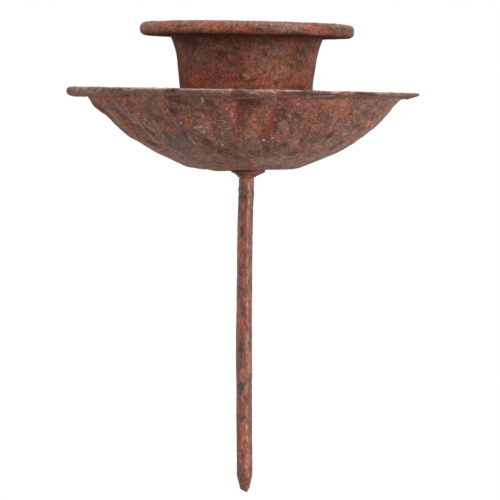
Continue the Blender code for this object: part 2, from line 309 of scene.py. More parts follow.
DISH_STROKES = {
    "dark": (
        # Lip
        (105, 89, 118, 91, 2.5, 0.5), (119, 89, 128, 97, 1.4, 0.8), (169, 90, 179, 96, 2.5, 0.7),
        (205, 96, 220, 94, 2.5, 0.4), (236, 93, 242, 95, 3.5, 1), (283, 92, 304, 93, 2.2, 0.7),
        (283, 96, 288, 98, 2, 0.2), (286, 89, 300, 91, 2, 0.6), (297, 91, 306, 93, 2.2, 1),
        (300, 92, 306, 96, 2.8, 0.8), (300, 93, 330, 97, 3, 0.6), (320, 95, 338, 96, 1.8, 0.5),
        (356, 92, 372, 95, 2.2, 0.8), (356, 95.5, 376, 97, 1.5, 0.5), (362, 93, 366, 92, 1.5, 0.7),
        # Left; many of these lie in the flutes' grooves as painted shade
        (93.5, 103, 97.5, 109, 1.2, 0.8), (97, 104, 104, 111, 1.5, 0.7), (104, 113, 111, 121, 1.2, 0.8),
        (114, 110, 124, 119, 2.5, 0.5), (126, 105, 131, 111, 1.6, 0.6), (127, 100, 133, 112, 1.4, 0.5),
        (136, 125, 143, 131, 1.8, 0.6), (145, 109, 158, 122, 1.6, 0.5), (146, 129, 155, 135, 1.6, 0.6),
        (150, 98, 154, 97, 3, 0.4), (150, 142, 158, 147, 1.8, 0.6), (157, 119, 161, 118, 2.5, 0.5),
        (163, 133, 169, 138, 2.5, 0.6), (172, 118, 170, 126, 2, 0.3), (172, 96, 186, 104, 3, 0.6),
        (172, 111, 178, 113, 3, 0.7),
        # Middle
        (191, 104, 193, 112, 2.5, 0.5), (195, 125, 196, 126, 1.1, 0.6), (196, 99, 212, 102, 3, 0.2),
        (196, 110, 212, 112, 2.5, 0.5), (202, 108, 206, 116, 2, 0.5), (205, 142, 209, 143, 2.8, 1),
        (206, 101, 207, 102, 1.1, 0.7), (208, 104, 220, 110, 2, 0.4), (213, 148, 222, 152, 3, 0.5),
        (227, 150, 240, 158, 3, 0.5), (232, 145, 236, 149, 3, 0.7), (233, 124, 236, 142, 2.2, 0.4),
        (238, 108, 239, 143, 1.6, 0.6), (240, 102, 240, 106, 2.2, 0.4), (243, 101, 256, 103, 4.5, 0.9),
        (246, 98, 250, 109, 3.5, 0.6), (250, 106, 251, 116, 3, 0.5), (250, 152, 258, 153, 2.2, 0.6),
        (254, 97, 262, 99, 2, 0.5), (262, 140, 266, 150, 3, 0.7), (263, 131, 267, 144, 2, 0.5),
        (277, 103, 268, 141, 1.4, 0.3), (268, 103, 275, 108, 2.5, 0.2), (273, 120, 275, 130, 2, 0.4),
        (277, 148, 284, 145, 2.8, 0.7), (279, 115, 280, 115, 1.1, 0.5), (282, 110, 284, 119, 2.5, 0.6),
        (288, 154, 300, 152, 2, 0.5), (290, 128, 292, 138, 2, 0.5), (294, 114, 300, 118, 2.5, 0.8),
        # Right
        (296, 109, 312, 112, 2.5, 0.4), (306, 124, 300, 142, 1.6, 0.4), (309, 114, 310, 122, 2, 0.5),
        (312, 141, 319, 136, 2.5, 0.6), (320, 115, 321, 120, 2, 0.5), (329, 108, 324, 132, 2.2, 0.4),
        (326, 137, 331, 135, 2.2, 0.9), (335, 125, 340, 119, 1.8, 0.6), (347, 108, 352, 109, 1.8, 0.4),
        (353, 127, 359, 125, 1.4, 0.6), (359, 130, 364, 128, 1.8, 0.6), (364, 113, 367, 119, 2, 0.6),
        (375, 114, 372, 119, 1.8, 0.6), (376, 104, 382, 108, 2.5, 0.4),
        *specks(
            1.1, 0.6, (185, 134), (192, 105), (200, 111), (214, 136), (218, 130), (226, 153), (275, 144),
            (293, 111),
        ),
    ),
    "red": (
        # Lip
        (161, 97, 164, 95, 4, 0.6),
        # Left
        (93, 100, 105, 98, 2.5, 0.8), (108, 98, 121, 98, 2.5, 0.8), (116, 112, 122, 118, 2.5, 0.5),
        (120, 121, 140, 132, 1.8, 0.8), (127, 107, 132, 114, 2.5, 0.5), (128, 99, 133, 104, 3, 0.7),
        (136, 105, 141, 110, 4, 0.7), (140, 136, 150, 143, 1.8, 0.7), (155, 126, 160, 131, 2, 0.6),
        (157, 138, 166, 143, 2.2, 0.6), (165, 128, 176, 131, 2.5, 0.8), (181, 115, 187, 124, 5, 0.8),
        # Middle
        (202, 113, 203, 125, 3, 0.9), (212, 117, 217, 126, 3.5, 0.8), (220, 100, 222, 106, 3, 0.4),
        (232, 98, 233, 106, 5, 0.8), (234, 108, 237, 129, 4.2, 1), (236, 141, 239, 139, 3, 0.6),
        (255, 113, 254, 128, 4.5, 0.8), (261, 126, 262, 137, 6, 0.6), (270, 110, 271, 117, 3.5, 1),
        (273, 120, 272, 132, 3, 0.5), (280, 138, 291, 134, 3.5, 0.8), (292, 99, 302, 104, 4.5, 0.8),
        (296, 108, 302, 112, 4, 0.7), (297, 150, 301, 148, 2, 0.7),
        # Right
        (305, 101, 335, 102, 3.5, 0.8), (311, 110, 315, 129, 4, 0.5), (324, 120, 326, 126, 2.5, 0.6),
        (336, 110, 333, 129, 1.8, 0.7), (338, 102, 350, 95, 4, 0.8), (338, 119, 342, 120, 2.5, 0.6),
        (342, 118, 347, 112, 3, 0.6), (343, 108, 347, 106, 3, 0.8), (345, 142, 366, 127, 1.4, 0.6),
        (352, 100, 360, 102, 3, 0.5), (384, 102, 389, 100, 2, 0.7),
    ),
    "maroon": (
        (168, 98, 178, 101, 3, 0.6), (206, 102, 215, 106, 3, 0.6), (236, 98, 246, 99, 3.5, 0.8),
        (239, 107, 241, 122, 3.2, 1), (246, 101, 258, 102, 3, 0.7), (260, 103, 265, 103, 3, 0.7),
        (268, 128, 267, 138, 3, 0.9), (275, 108, 272, 130, 3.5, 1), (282, 94, 288, 104, 3.5, 0.7),
    ),
    "vivid": (
        (184, 119, 186, 122, 2, 0.4), (203, 116, 203, 120, 1.5, 0.4), (233, 117, 235, 121, 2, 0.5),
        (252, 122, 253, 128, 2, 0.3), (271, 111, 272, 116, 1.5, 0.5), (284, 121, 284, 124, 1.5, 0.3),
        (296, 101, 300, 103, 2, 0.4), (341, 103, 343, 105, 2, 0.3),
    ),
    "slate": (
        # Lip
        (88, 91, 112, 92, 3, 0.3), (182, 95, 200, 99, 3, 0.9), (184, 95, 192, 97, 2.5, 1),
        (236, 91, 243, 92, 1.6, 0.8), (308, 95, 337, 97, 2.5, 0.9), (416, 94.5, 418, 95, 1.2, 0.8),
        # Left
        (112, 106, 119, 108, 3, 0.8), (156, 118, 160, 118, 3, 0.6), (170, 96, 178, 100, 2.5, 0.7),
        (172, 141, 182, 144, 4, 0.9), (174, 133, 184, 137, 3, 0.8), (176, 144, 190, 152, 4, 0.6),
        (180, 137, 190, 143, 3, 0.5),
        # Middle
        (188, 128, 196, 133, 4, 0.4), (202, 101, 203, 97, 3, 1), (205, 150, 218, 158, 4, 0.4),
        (212, 141, 218, 142, 3, 0.6), (238, 162, 246, 160, 3, 0.4), (242, 116, 247, 127, 2.5, 0.7),
        (270, 140, 276, 142, 2.5, 0.6), (277, 104, 285, 107, 3, 0.6), (285, 116, 292, 115, 3.5, 0.8),
        # Right
        (332, 116, 330, 129, 2, 0.4), (355, 98, 362, 98, 3, 0.5), (362, 114, 368, 112, 3, 0.6),
    ),
    "ash": (
        # Lip; several of these lie across the crease under the hem and lighten its shade as painted light
        (77, 90, 118, 91, 3, 0.7), (88, 90, 102, 93, 2, 0.6), (122, 90, 134, 94, 3, 0.9),
        (130, 92, 165, 92, 3, 0.8), (137, 94, 162, 98, 3, 0.7), (205, 92, 235, 93, 2.5, 0.7),
        (223, 91, 231, 92, 2, 0.8), (239, 90.5, 250, 90.5, 1.2, 0.9), (250, 91, 268, 92, 2, 0.9),
        (273, 96, 275, 98, 2, 0.9), (330, 96, 342, 98, 3, 0.5), (378, 97, 414, 95, 2, 0.8),
        (402, 97, 417, 95, 2, 1),
        # Left; the long diagonal strokes are painted highlight on the flutes' ridges
        (110, 112, 122, 127, 1.2, 0.5), (112, 111, 126, 128, 1.5, 0.7), (116, 129, 140, 146, 1.2, 0.5),
        (122, 106, 141, 122, 1.4, 0.6), (126, 128, 141, 145, 1.5, 0.5), (128, 108, 148, 130, 2, 0.8),
        (129, 115, 147, 133, 1.5, 0.9), (130, 97, 150, 98, 2.5, 0.5), (130, 113, 147, 131, 1.9, 1),
        (138, 142, 165, 156, 2.5, 0.8), (141, 122, 160, 137, 1.8, 0.8), (143, 113, 157, 129, 1.4, 0.6),
        (146, 118, 166, 142, 1.9, 1), (147, 133, 158, 142, 1.5, 0.9), (152, 137, 186, 158, 2, 0.7),
        (165, 156, 200, 166, 3, 0.7), (175, 120, 188, 146, 3.5, 0.35),
        # Middle
        (182, 132, 198, 144, 3, 0.4), (190, 126, 202, 131, 4, 0.4), (192, 152, 206, 160, 5, 0.5),
        (200, 166, 215, 168, 2, 0.5), (212, 138, 220, 144, 4, 0.5), (232, 146, 262, 141, 3, 0.4),
        (246, 136, 256, 140, 4, 0.6), (246, 149, 256, 151, 2.5, 0.5), (256, 163, 300, 158, 4, 0.7),
        (264, 100, 268, 104, 2.2, 0.7), (275, 138, 281, 150, 3.5, 0.7), (280, 124, 287, 129, 3, 0.8),
        (286, 137, 292, 143, 3, 0.5),
        # Right; the last stroke lightens the hem's shade at the right corner as painted light
        (285, 165, 330, 155, 4, 0.7), (318, 136, 304, 152, 2, 0.5), (341, 148, 306, 163, 1.3, 0.6),
        (316, 148, 326, 152, 3, 0.6), (322, 100, 396, 100, 2, 0.5), (332, 139, 322, 147, 3.5, 0.6),
        (336, 112, 329, 130, 0.9, 0.7), (330, 155, 374, 128, 1.8, 0.6), (336, 122, 346, 134, 2.5, 0.8),
        (350, 108, 338, 126, 1.5, 0.6), (373, 126, 341, 148, 1.4, 0.9), (352, 117, 344, 130, 2, 0.5),
        (374, 118, 345, 138, 1.3, 0.7), (366, 104, 356, 112, 2, 0.5), (356, 132, 374, 122, 3, 0.7),
        (381, 104, 360, 124, 1.8, 0.6), (366, 100, 372, 96, 3, 0.5), (393, 105, 373, 126, 1.5, 0.9),
        (388, 112, 398, 100, 3, 1),
    ),
    "salmon": (
        # Lip
        (223, 91, 231, 91, 2, 0.4), (226, 94, 231, 95, 2.5, 0.5), (250, 91, 269, 92, 1.8, 0.3),
        (343, 98, 352, 93, 2.8, 0.8),
        # Left
        (106, 102, 110, 104, 2.5, 0.5), (126, 99, 143, 100, 3, 0.7), (161, 104, 168, 118, 3, 0.4),
        # Middle
        (208, 135, 216, 146, 3, 0.4), (209, 122, 210, 132, 3, 0.8), (216, 132, 218, 142, 2, 0.7),
        (216, 154, 220, 158, 2.5, 0.4), (224, 100, 230, 108, 3, 0.5), (229, 118, 236, 119, 2.5, 0.5),
        (233, 117, 234, 121, 2.5, 0.5), (245, 130, 245, 138, 1.5, 0.5), (252, 121, 252, 134, 3.5, 0.9),
        (254, 116, 256, 124, 3, 0.6), (281, 134, 276, 150, 2.8, 0.4), (280, 102, 281, 104, 2, 0.6),
        (283, 121, 284, 126, 3, 0.5), (292, 101, 300, 103, 3.5, 0.7), (294, 134, 300, 154, 2.5, 0.6),
        # Right
        (302, 136, 304, 142, 2, 0.5), (311, 128, 316, 130, 2.5, 0.5), (317, 150, 322, 147, 2, 0.5),
        (322, 101, 336, 103, 2.5, 0.6), (327, 106, 328, 110, 3, 0.8), (336, 134, 342, 127, 2.5, 0.6),
        (340, 100, 343, 105, 3.5, 0.9), (341, 108, 341, 112, 2.5, 0.5), (354, 113, 354, 119, 2.5, 0.6),
        (363, 126, 370, 124, 2.5, 0.5), (371, 114, 372, 116, 2, 0.5),
    ),
    "pale": (
        # Lip: painted highlights along its top edge
        (124, 88.5, 134, 91, 1.8, 0.35), (132, 88.2, 146, 88.4, 1, 0.55), (148, 88.3, 166, 88.8, 1, 0.7),
        (180, 89, 222, 89.6, 1.1, 0.4), (255, 89.8, 264, 90, 0.9, 0.3), (271, 91, 275, 92, 1, 0.45),
        (330, 92, 339, 92, 0.9, 0.6), (376, 92.8, 389, 93.2, 1, 0.35),
        # Left
        (132, 115, 141, 125, 1, 0.2), (138, 114, 139, 114, 0.7, 0.7), (142, 115, 142, 116, 0.7, 0.6),
        (147, 119, 156, 136, 1, 0.25), (152, 146, 180, 157, 1.4, 0.2), (160, 138, 168, 144, 1.2, 0.25),
        (167, 110, 168, 111, 0.7, 0.6), (176, 130, 184, 142, 2, 0.15), (180, 123, 181, 123, 0.8, 0.7),
        # Middle
        (195, 128, 197, 128, 0.8, 0.8), (200, 127, 201, 127, 0.8, 0.9), (202, 99, 202, 102, 0.8, 0.7),
        (203, 117, 204, 117, 0.8, 0.6), (203, 132, 205, 132, 0.8, 0.7), (222, 145, 223, 145, 0.8, 0.8),
        (263, 140, 264, 140, 0.9, 1), (272, 138, 273, 138, 0.9, 0.8),
        # Right: painted light over the hem's shade at the right corner
        (386, 98, 397, 98.5, 2, 0.3),
        *specks(
            0.7, 0.5, (117, 122), (188, 106), (215, 138), (222, 133), (225, 108), (225, 122), (225, 129),
            (233, 120), (258, 142), (275, 120), (290, 116), (296, 120), (296, 141),
        ),
        *specks(0.7, 0.6, (206, 128), (216, 143), (219, 127)),
    ),
}
SPIKE_STROKES = {
    # The thin strokes along the rod's left and right edges are painted shade
    "dark": (
        (239.4, 178, 238.9, 198, 0.7, 0.7), (242, 188, 244, 189, 1.2, 0.8),
        (252.8, 190, 252.8, 198, 0.9, 0.9), (247, 193, 248, 192, 1.2, 0.6), (243, 194, 244, 200, 2.2, 0.6),
        (240, 195, 243, 200, 1.8, 0.9), (242, 197, 248, 197, 1.8, 0.9), (243, 198, 246, 207, 1.4, 0.4),
        (237.4, 202, 237.2, 220, 0.6, 0.6), (250, 207, 251.5, 218, 1.4, 0.4),
        (243, 210, 243, 213, 1.2, 0.6), (245, 226, 245, 246, 1.2, 0.35), (242, 228, 242, 234, 1.6, 0.8),
        (249, 234, 249, 243, 1.6, 0.45), (236.9, 254, 236.6, 276, 0.6, 0.6),
        (249, 258, 250, 263, 1.4, 0.45), (252, 268, 251.6, 298, 0.6, 0.6), (241, 273, 242, 275, 1, 0.6),
        (240, 287, 241, 289, 1, 0.7), (243, 308, 243, 316, 2.2, 0.6), (241.5, 345, 241.5, 352, 2, 0.9),
        (241, 352, 242, 368, 1.6, 0.3), (248, 380, 250, 383, 1.2, 0.5), (241.5, 383, 242, 388, 1.8, 0.9),
        (241, 392, 241, 394, 1.2, 0.8), (251.6, 398, 251.8, 440, 1, 0.95), (242, 408, 242, 413, 1.6, 0.5),
        (241, 418, 245, 418, 1.6, 0.9), (247, 418, 248, 428, 1.4, 0.35), (238, 445, 238, 458, 0.8, 0.7),
        (237.3, 457, 237.8, 478, 0.7, 0.7), (245, 474, 247, 488, 3, 0.35),
    ),
    "red": (
        (251, 176, 251, 181, 1.8, 0.6), (243, 201, 243, 209, 1.8, 0.9), (242, 213, 243, 222, 1.8, 0.8),
        (242, 236, 242, 274, 1.8, 0.8), (250, 275, 250, 330, 1.2, 0.4), (242, 278, 242, 285, 1.8, 0.9),
        (242, 295, 243, 305, 1.8, 0.7), (242, 318, 243, 337, 1.7, 0.9), (242, 355, 242, 381, 1.9, 0.8),
        (241, 399, 242, 412, 1.9, 0.8), (242, 424, 242, 440, 2.2, 0.8), (242, 450, 243, 470, 1.8, 0.5),
    ),
    "vivid": (
        (243, 202, 243, 208, 1.8, 0.5), (242, 252, 242, 258, 1.4, 0.4), (243, 277, 243, 284, 1.8, 0.5),
        (242, 319, 243, 325, 2, 0.5), (242, 371, 243, 379, 1.8, 0.5), (246, 396, 247, 404, 1.4, 0.3),
        (242, 402, 242, 408, 1.3, 0.4), (242, 426, 243, 436, 2, 0.4),
    ),
    "slate": (
        (253.4, 178, 252, 250, 0.9, 0.8), (239, 190, 239, 202, 1.2, 0.8), (239, 215, 239, 300, 0.9, 0.8),
        (251.8, 255, 251.3, 300, 0.9, 0.7), (251.3, 320, 251.2, 400, 0.9, 0.7),
        (239, 352, 239, 365, 1.1, 0.7), (239, 372, 239, 424, 0.9, 0.7), (251.3, 405, 251.6, 472, 1, 0.9),
        (240, 460, 241, 464, 1.6, 0.7),
    ),
    # Painted highlight: the light streak down the rod, right of its middle
    "ash": (
        (248, 203, 248, 240, 1.2, 0.6), (247.5, 244, 247.5, 295, 1.2, 0.8),
        (247.5, 298, 247, 314, 1.2, 0.8), (247, 332, 247, 362, 1.2, 0.8), (247, 384, 247, 410, 1.2, 0.7),
        (247, 412, 247.5, 475, 1.2, 0.6),
    ),
    "salmon": (
        (241, 178, 251, 179, 2, 0.9), (246, 181, 249, 184, 2, 0.5), (248.5, 188, 248.5, 212, 1.2, 0.7),
        (243, 201, 243, 208, 1.6, 0.8), (238.5, 222, 238.5, 254, 0.9, 0.8), (246, 249, 248, 254, 1.6, 0.8),
        (243, 276, 243.5, 285, 1.8, 0.9), (242, 295, 243, 303, 1.6, 0.6), (239, 318, 239, 346, 0.9, 0.6),
        (242, 318, 246, 325, 2.2, 1), (248, 346, 249.5, 372, 1.6, 0.8), (242, 370, 243, 380, 1.9, 1),
        (242, 395, 243, 403, 1.7, 0.8), (246, 412, 247, 444, 1.3, 0.5), (242, 424, 243, 446, 2.2, 0.9),
        (246, 455, 247.5, 476, 1.5, 0.8),
    ),
    # Painted highlights: small glints near the rod's top
    "pale": ((247.5, 196, 248, 196, 0.5, 0.5), (248.5, 183, 249, 189, 0.8, 0.5)),
}
COLLAR_STROKES = {
    # The dark strokes along its top are painted shade where it meets the dish
    "dark": (
        (240, 170.4, 253, 170.7, 0.9, 0.9), (232, 171, 241, 172, 2.2, 0.8), (236, 173, 242, 175, 1.5, 0.5),
    ),
    "red": ((246, 174, 253, 174, 2.5, 0.9), (251, 177, 253, 179, 1.5, 0.8)),
    "ash": ((257, 172, 262, 172, 1.2, 0.6),),
    "salmon": ((241, 177, 251, 178, 1.6, 0.7),),
}

# How far the outside sinks at a dark stroke and stands proud at a pale one
PIT_DEPTH = 0.10 * MM
GRAIN_HEIGHT = 0.05 * MM

# How fast a stroke fades across its width, how far its edges wander in front and behind, in pixels, by
# lumps of which sizes, and how wide the calm band is where front and back meet
STROKE_FALLOFF = 0.7
MARK_WANDER = 0.9
BACK_WANDER = 7
SMALL_WANDER, LARGE_WANDER = 1.1 * MM, 5 * MM
SEAM_WIDTH = 0.15


# Turned outlines

SHEET_FILLET_STEP, SOLID_FILLET_STEP = 0.1 * MM, 0.05 * MM
FIRST_SPACING = 0.05 * MM
LEAST_TURN = 0.01


def arc_points(before, corner, after, radius, step):
    """Points (r, z) that round the corner of an outline, about a step apart."""
    before, corner, after = (np.array(p, float) for p in (before, corner, after))
    u, v = before - corner, after - corner
    length_u, length_v = np.linalg.norm(u), np.linalg.norm(v)
    u, v = u / length_u, v / length_v
    inside = math.acos(np.clip(u @ v, -1, 1))
    turn = math.pi - inside
    if turn < LEAST_TURN or radius == 0:
        return [tuple(corner)]
    reach = min(radius * math.tan(turn / 2), 0.49 * min(length_u, length_v))
    radius = reach / math.tan(turn / 2)
    middle = (u + v) / np.linalg.norm(u + v)
    centre = corner + middle * radius / math.sin(inside / 2)
    start, end = corner + u * reach - centre, corner + v * reach - centre
    first = math.atan2(start[1], start[0])
    sweep = (math.atan2(end[1], end[0]) - first + math.pi) % (2 * math.pi) - math.pi
    count = max(3, round(radius * turn / step))
    angles = first + sweep * np.arange(count + 1) / count
    return [(centre[0] + radius * math.cos(a), centre[1] + radius * math.sin(a)) for a in angles]


def rounded(corners, step=SHEET_FILLET_STEP):
    """An open outline through corners ((r, z), fillet), each rounded by its fillet."""
    points = [corners[0][0]]
    for before, (corner, fillet), after in zip(corners, corners[1:], corners[2:]):
        points += arc_points(before[0], corner, after[0], fillet, step)
    return np.array(points + [corners[-1][0]], float)


def spaced(outline, spacing):
    """The outline with its points spaced anew, by one distance or by a function of radius and height.

    It is divided finely first, so that the distance is asked all along it.
    """
    for distance in (FIRST_SPACING, spacing):
        if callable(distance):
            distance = distance(*outline.T)
        distance = np.broadcast_to(distance, len(outline))
        lengths = np.linalg.norm(np.diff(outline, axis=0), axis=1)
        counts = np.concatenate([[0], np.cumsum(lengths * 2 / (distance[1:] + distance[:-1]))])
        places = np.linspace(0, counts[-1], max(2, round(counts[-1])) + 1)
        outline = np.column_stack([np.interp(places, counts, outline[:, k]) for k in (0, 1)])
    return outline


def left_normals(outline):
    """Unit normals of an open outline, to the left of its run."""
    run = np.gradient(outline, axis=0)
    run /= np.linalg.norm(run, axis=1)[:, None]
    return np.column_stack([-run[:, 1], run[:, 0]])


def sheet_outline(centre_line, sheet, outside_spacing, inside_spacing):
    """A sheet's closed outline along its centre line: points, outward normals, and 1 outside or -1 inside.

    The line runs from the centre out along the floor and up the wall, so its right side is the outside.
    """
    outside, inside = spaced(centre_line, outside_spacing), spaced(centre_line, inside_spacing)
    out, back = -left_normals(outside), left_normals(inside)
    points = np.concatenate([outside + out * sheet / 2, (inside + back * sheet / 2)[::-1]])
    normals = np.concatenate([out, back[::-1]])
    side = np.concatenate([np.ones(len(outside)), -np.ones(len(inside))])
    return points, normals, side


def solid_outline(corners, spacing):
    """The same for a solid, whose outline runs from its top at the axis down its outside."""
    points = spaced(rounded(corners, SOLID_FILLET_STEP), spacing)
    return points, left_normals(points), np.ones(len(points))


class Turned:
    """A grid of points turned round the Z axis: rings of an outline, each divided into steps."""

    def __init__(self, outline, steps):
        points, normals, side = outline
        self.rings, self.steps = len(points), steps
        self.radius, self.height = self.across(points[:, 0]), self.across(points[:, 1])
        self.out, self.up = self.across(normals[:, 0]), self.across(normals[:, 1])
        self.side = self.across(side)
        self.angle = np.repeat(np.arange(steps)[None, :] * 2 * math.pi / steps, self.rings, axis=0)
        self.shift = np.zeros(self.radius.shape)

    def across(self, values):
        """One value for each ring, repeated round it."""
        return np.repeat(np.reshape(values, (-1, 1)), self.steps, axis=1)

    def x(self):
        return self.radius * np.cos(self.angle) + self.shift

    def places(self):
        """Each point's place, as a list of (x, y, z)."""
        y = self.radius * np.sin(self.angle)
        return np.column_stack([self.x().ravel(), y.ravel(), self.height.ravel()])

    def push(self, amount):
        """Moves each point along its normal."""
        self.radius += self.out * amount
        self.height += self.up * amount

    def noise(self, size, octaves, seed):
        """Smooth noise of about -1 to 1, with lumps of about this size."""
        offset = Vector((seed * 3.7, seed * 5.3, seed * 7.1))
        values = [noise.fractal(Vector(p) / size + offset, 1, 2, octaves) for p in self.places()]
        return np.reshape(values, self.radius.shape)

    def faces(self, closed):
        """Quads between neighbouring rings, and round to the first ring where the outline is closed."""
        rings = self.rings if closed else self.rings - 1
        ring, step = np.meshgrid(np.arange(rings), np.arange(self.steps), indexing="ij")
        after, beside = (ring + 1) % self.rings, (step + 1) % self.steps
        corners = [(ring, step), (ring, beside), (after, beside), (after, step)]
        return np.stack([r * self.steps + s for r, s in corners], axis=-1).reshape(-1, 4)

    def build(self, name, attributes, closed):
        """The object, with each attribute as a value on its points. An open outline ends in a cap."""
        faces = [tuple(f) for f in self.faces(closed)]
        if not closed:
            faces.append(tuple(range(self.steps))[::-1])
            faces.append(tuple(range((self.rings - 1) * self.steps, self.rings * self.steps)))
        mesh = bpy.data.meshes.new(name)
        mesh.from_pydata([tuple(p) for p in self.places()], [], faces)
        mesh.shade_smooth()
        for label, values in attributes.items():
            layer = mesh.attributes.new(label, "FLOAT", "POINT")
            layer.data.foreach_set("value", np.ravel(values).astype(np.float32))
        obj = bpy.data.objects.new(name, mesh)
        bpy.context.scene.collection.objects.link(obj)
        return obj


def smooth_step(value, low, high):
    """0 below low, 1 above high, and smooth between."""
    share = np.clip((value - low) / (high - low), 0, 1)
    return share * share * (3 - 2 * share)


# The camera


def make_camera():
    data = bpy.data.cameras.new("camera")
    data.lens, data.sensor_width = LENS, SENSOR
    data.clip_start, data.clip_end = 0.01, 50
    camera = bpy.data.objects.new("camera", data)
    bpy.context.scene.collection.objects.link(camera)
    turn = (CAMERA_AIM - CAMERA_PLACE).to_track_quat("-Z", "Y").to_matrix().to_4x4()
    camera.matrix_world = Matrix.Translation(CAMERA_PLACE) @ turn @ Matrix.Rotation(CAMERA_ROLL, 4, "Z")
    bpy.context.scene.camera = camera
    bpy.context.view_layer.update()
    return camera


def seen_at(places, camera):
    """Where the photograph shows each place, in its pixels."""
    to_camera = np.array(camera.matrix_world.inverted())
    local = places @ to_camera[:3, :3].T + to_camera[:3, 3]
    scale = LENS / SENSOR * PHOTO_SIZE / -local[:, 2]
    return PHOTO_SIZE / 2 + local[:, 0] * scale, PHOTO_SIZE / 2 - local[:, 1] * scale


def painted(turned, camera, strokes):
    """Soft masks of the listed strokes, by their tones, on the outside, and a mask of the bare inside.

    The side that faces the camera has them as the photograph shows them, and the back has them mirrored and
    wandering further, so that no seam shows where the two meet.
    """
    behind = np.sin(turned.angle) > 0
    places = turned.places()
    places[behind.ravel()] *= (1, -1, 1)
    across, down = seen_at(places, camera)
    across, down = across.reshape(turned.radius.shape), down.reshape(turned.radius.shape)
    from_seam = smooth_step(np.abs(np.sin(turned.angle)), 0, SEAM_WIDTH)
    wander = np.where(behind, BACK_WANDER, MARK_WANDER) * from_seam
    across += wander * turned.noise(SMALL_WANDER, 3, 41) + 0.5 * wander * turned.noise(LARGE_WANDER, 1, 45)
    down += wander * turned.noise(SMALL_WANDER, 3, 43) + 0.5 * wander * turned.noise(LARGE_WANDER, 1, 47)
    # The outside, and the edges that face outwards
    facing = ((turned.side > 0) & (turned.out > -0.5)) | (turned.out > 0.3)
    masks = {"bare": 1.0 - facing}
    for tone in STROKE_TONES:
        mask = np.zeros(turned.radius.shape)
        for x1, y1, x2, y2, half_width, strength in strokes.get(tone, ()):
            run = np.array((x2 - x1, y2 - y1), float)
            share = np.clip(((across - x1) * run[0] + (down - y1) * run[1]) / (run @ run), 0, 1)
            away = np.hypot(across - x1 - share * run[0], down - y1 - share * run[1]) / half_width
            mask = np.maximum(mask, strength * np.exp(-STROKE_FALLOFF * away**2))
        masks[tone] = mask * facing
    return masks


# Materials


def srgb(red, green, blue):
    """A colour written as 0 to 255, as the linear values that a shader takes."""
    channels = (c / 255 for c in (red, green, blue))
    return (*(c / 12.92 if c <= 0.04045 else ((c + 0.055) / 1.055) ** 2.4 for c in channels), 1)


# The middle of a noise texture's values, and about how far apart most of them lie
NOISE_MIDDLE, NOISE_SPREAD = 0.5, 0.25


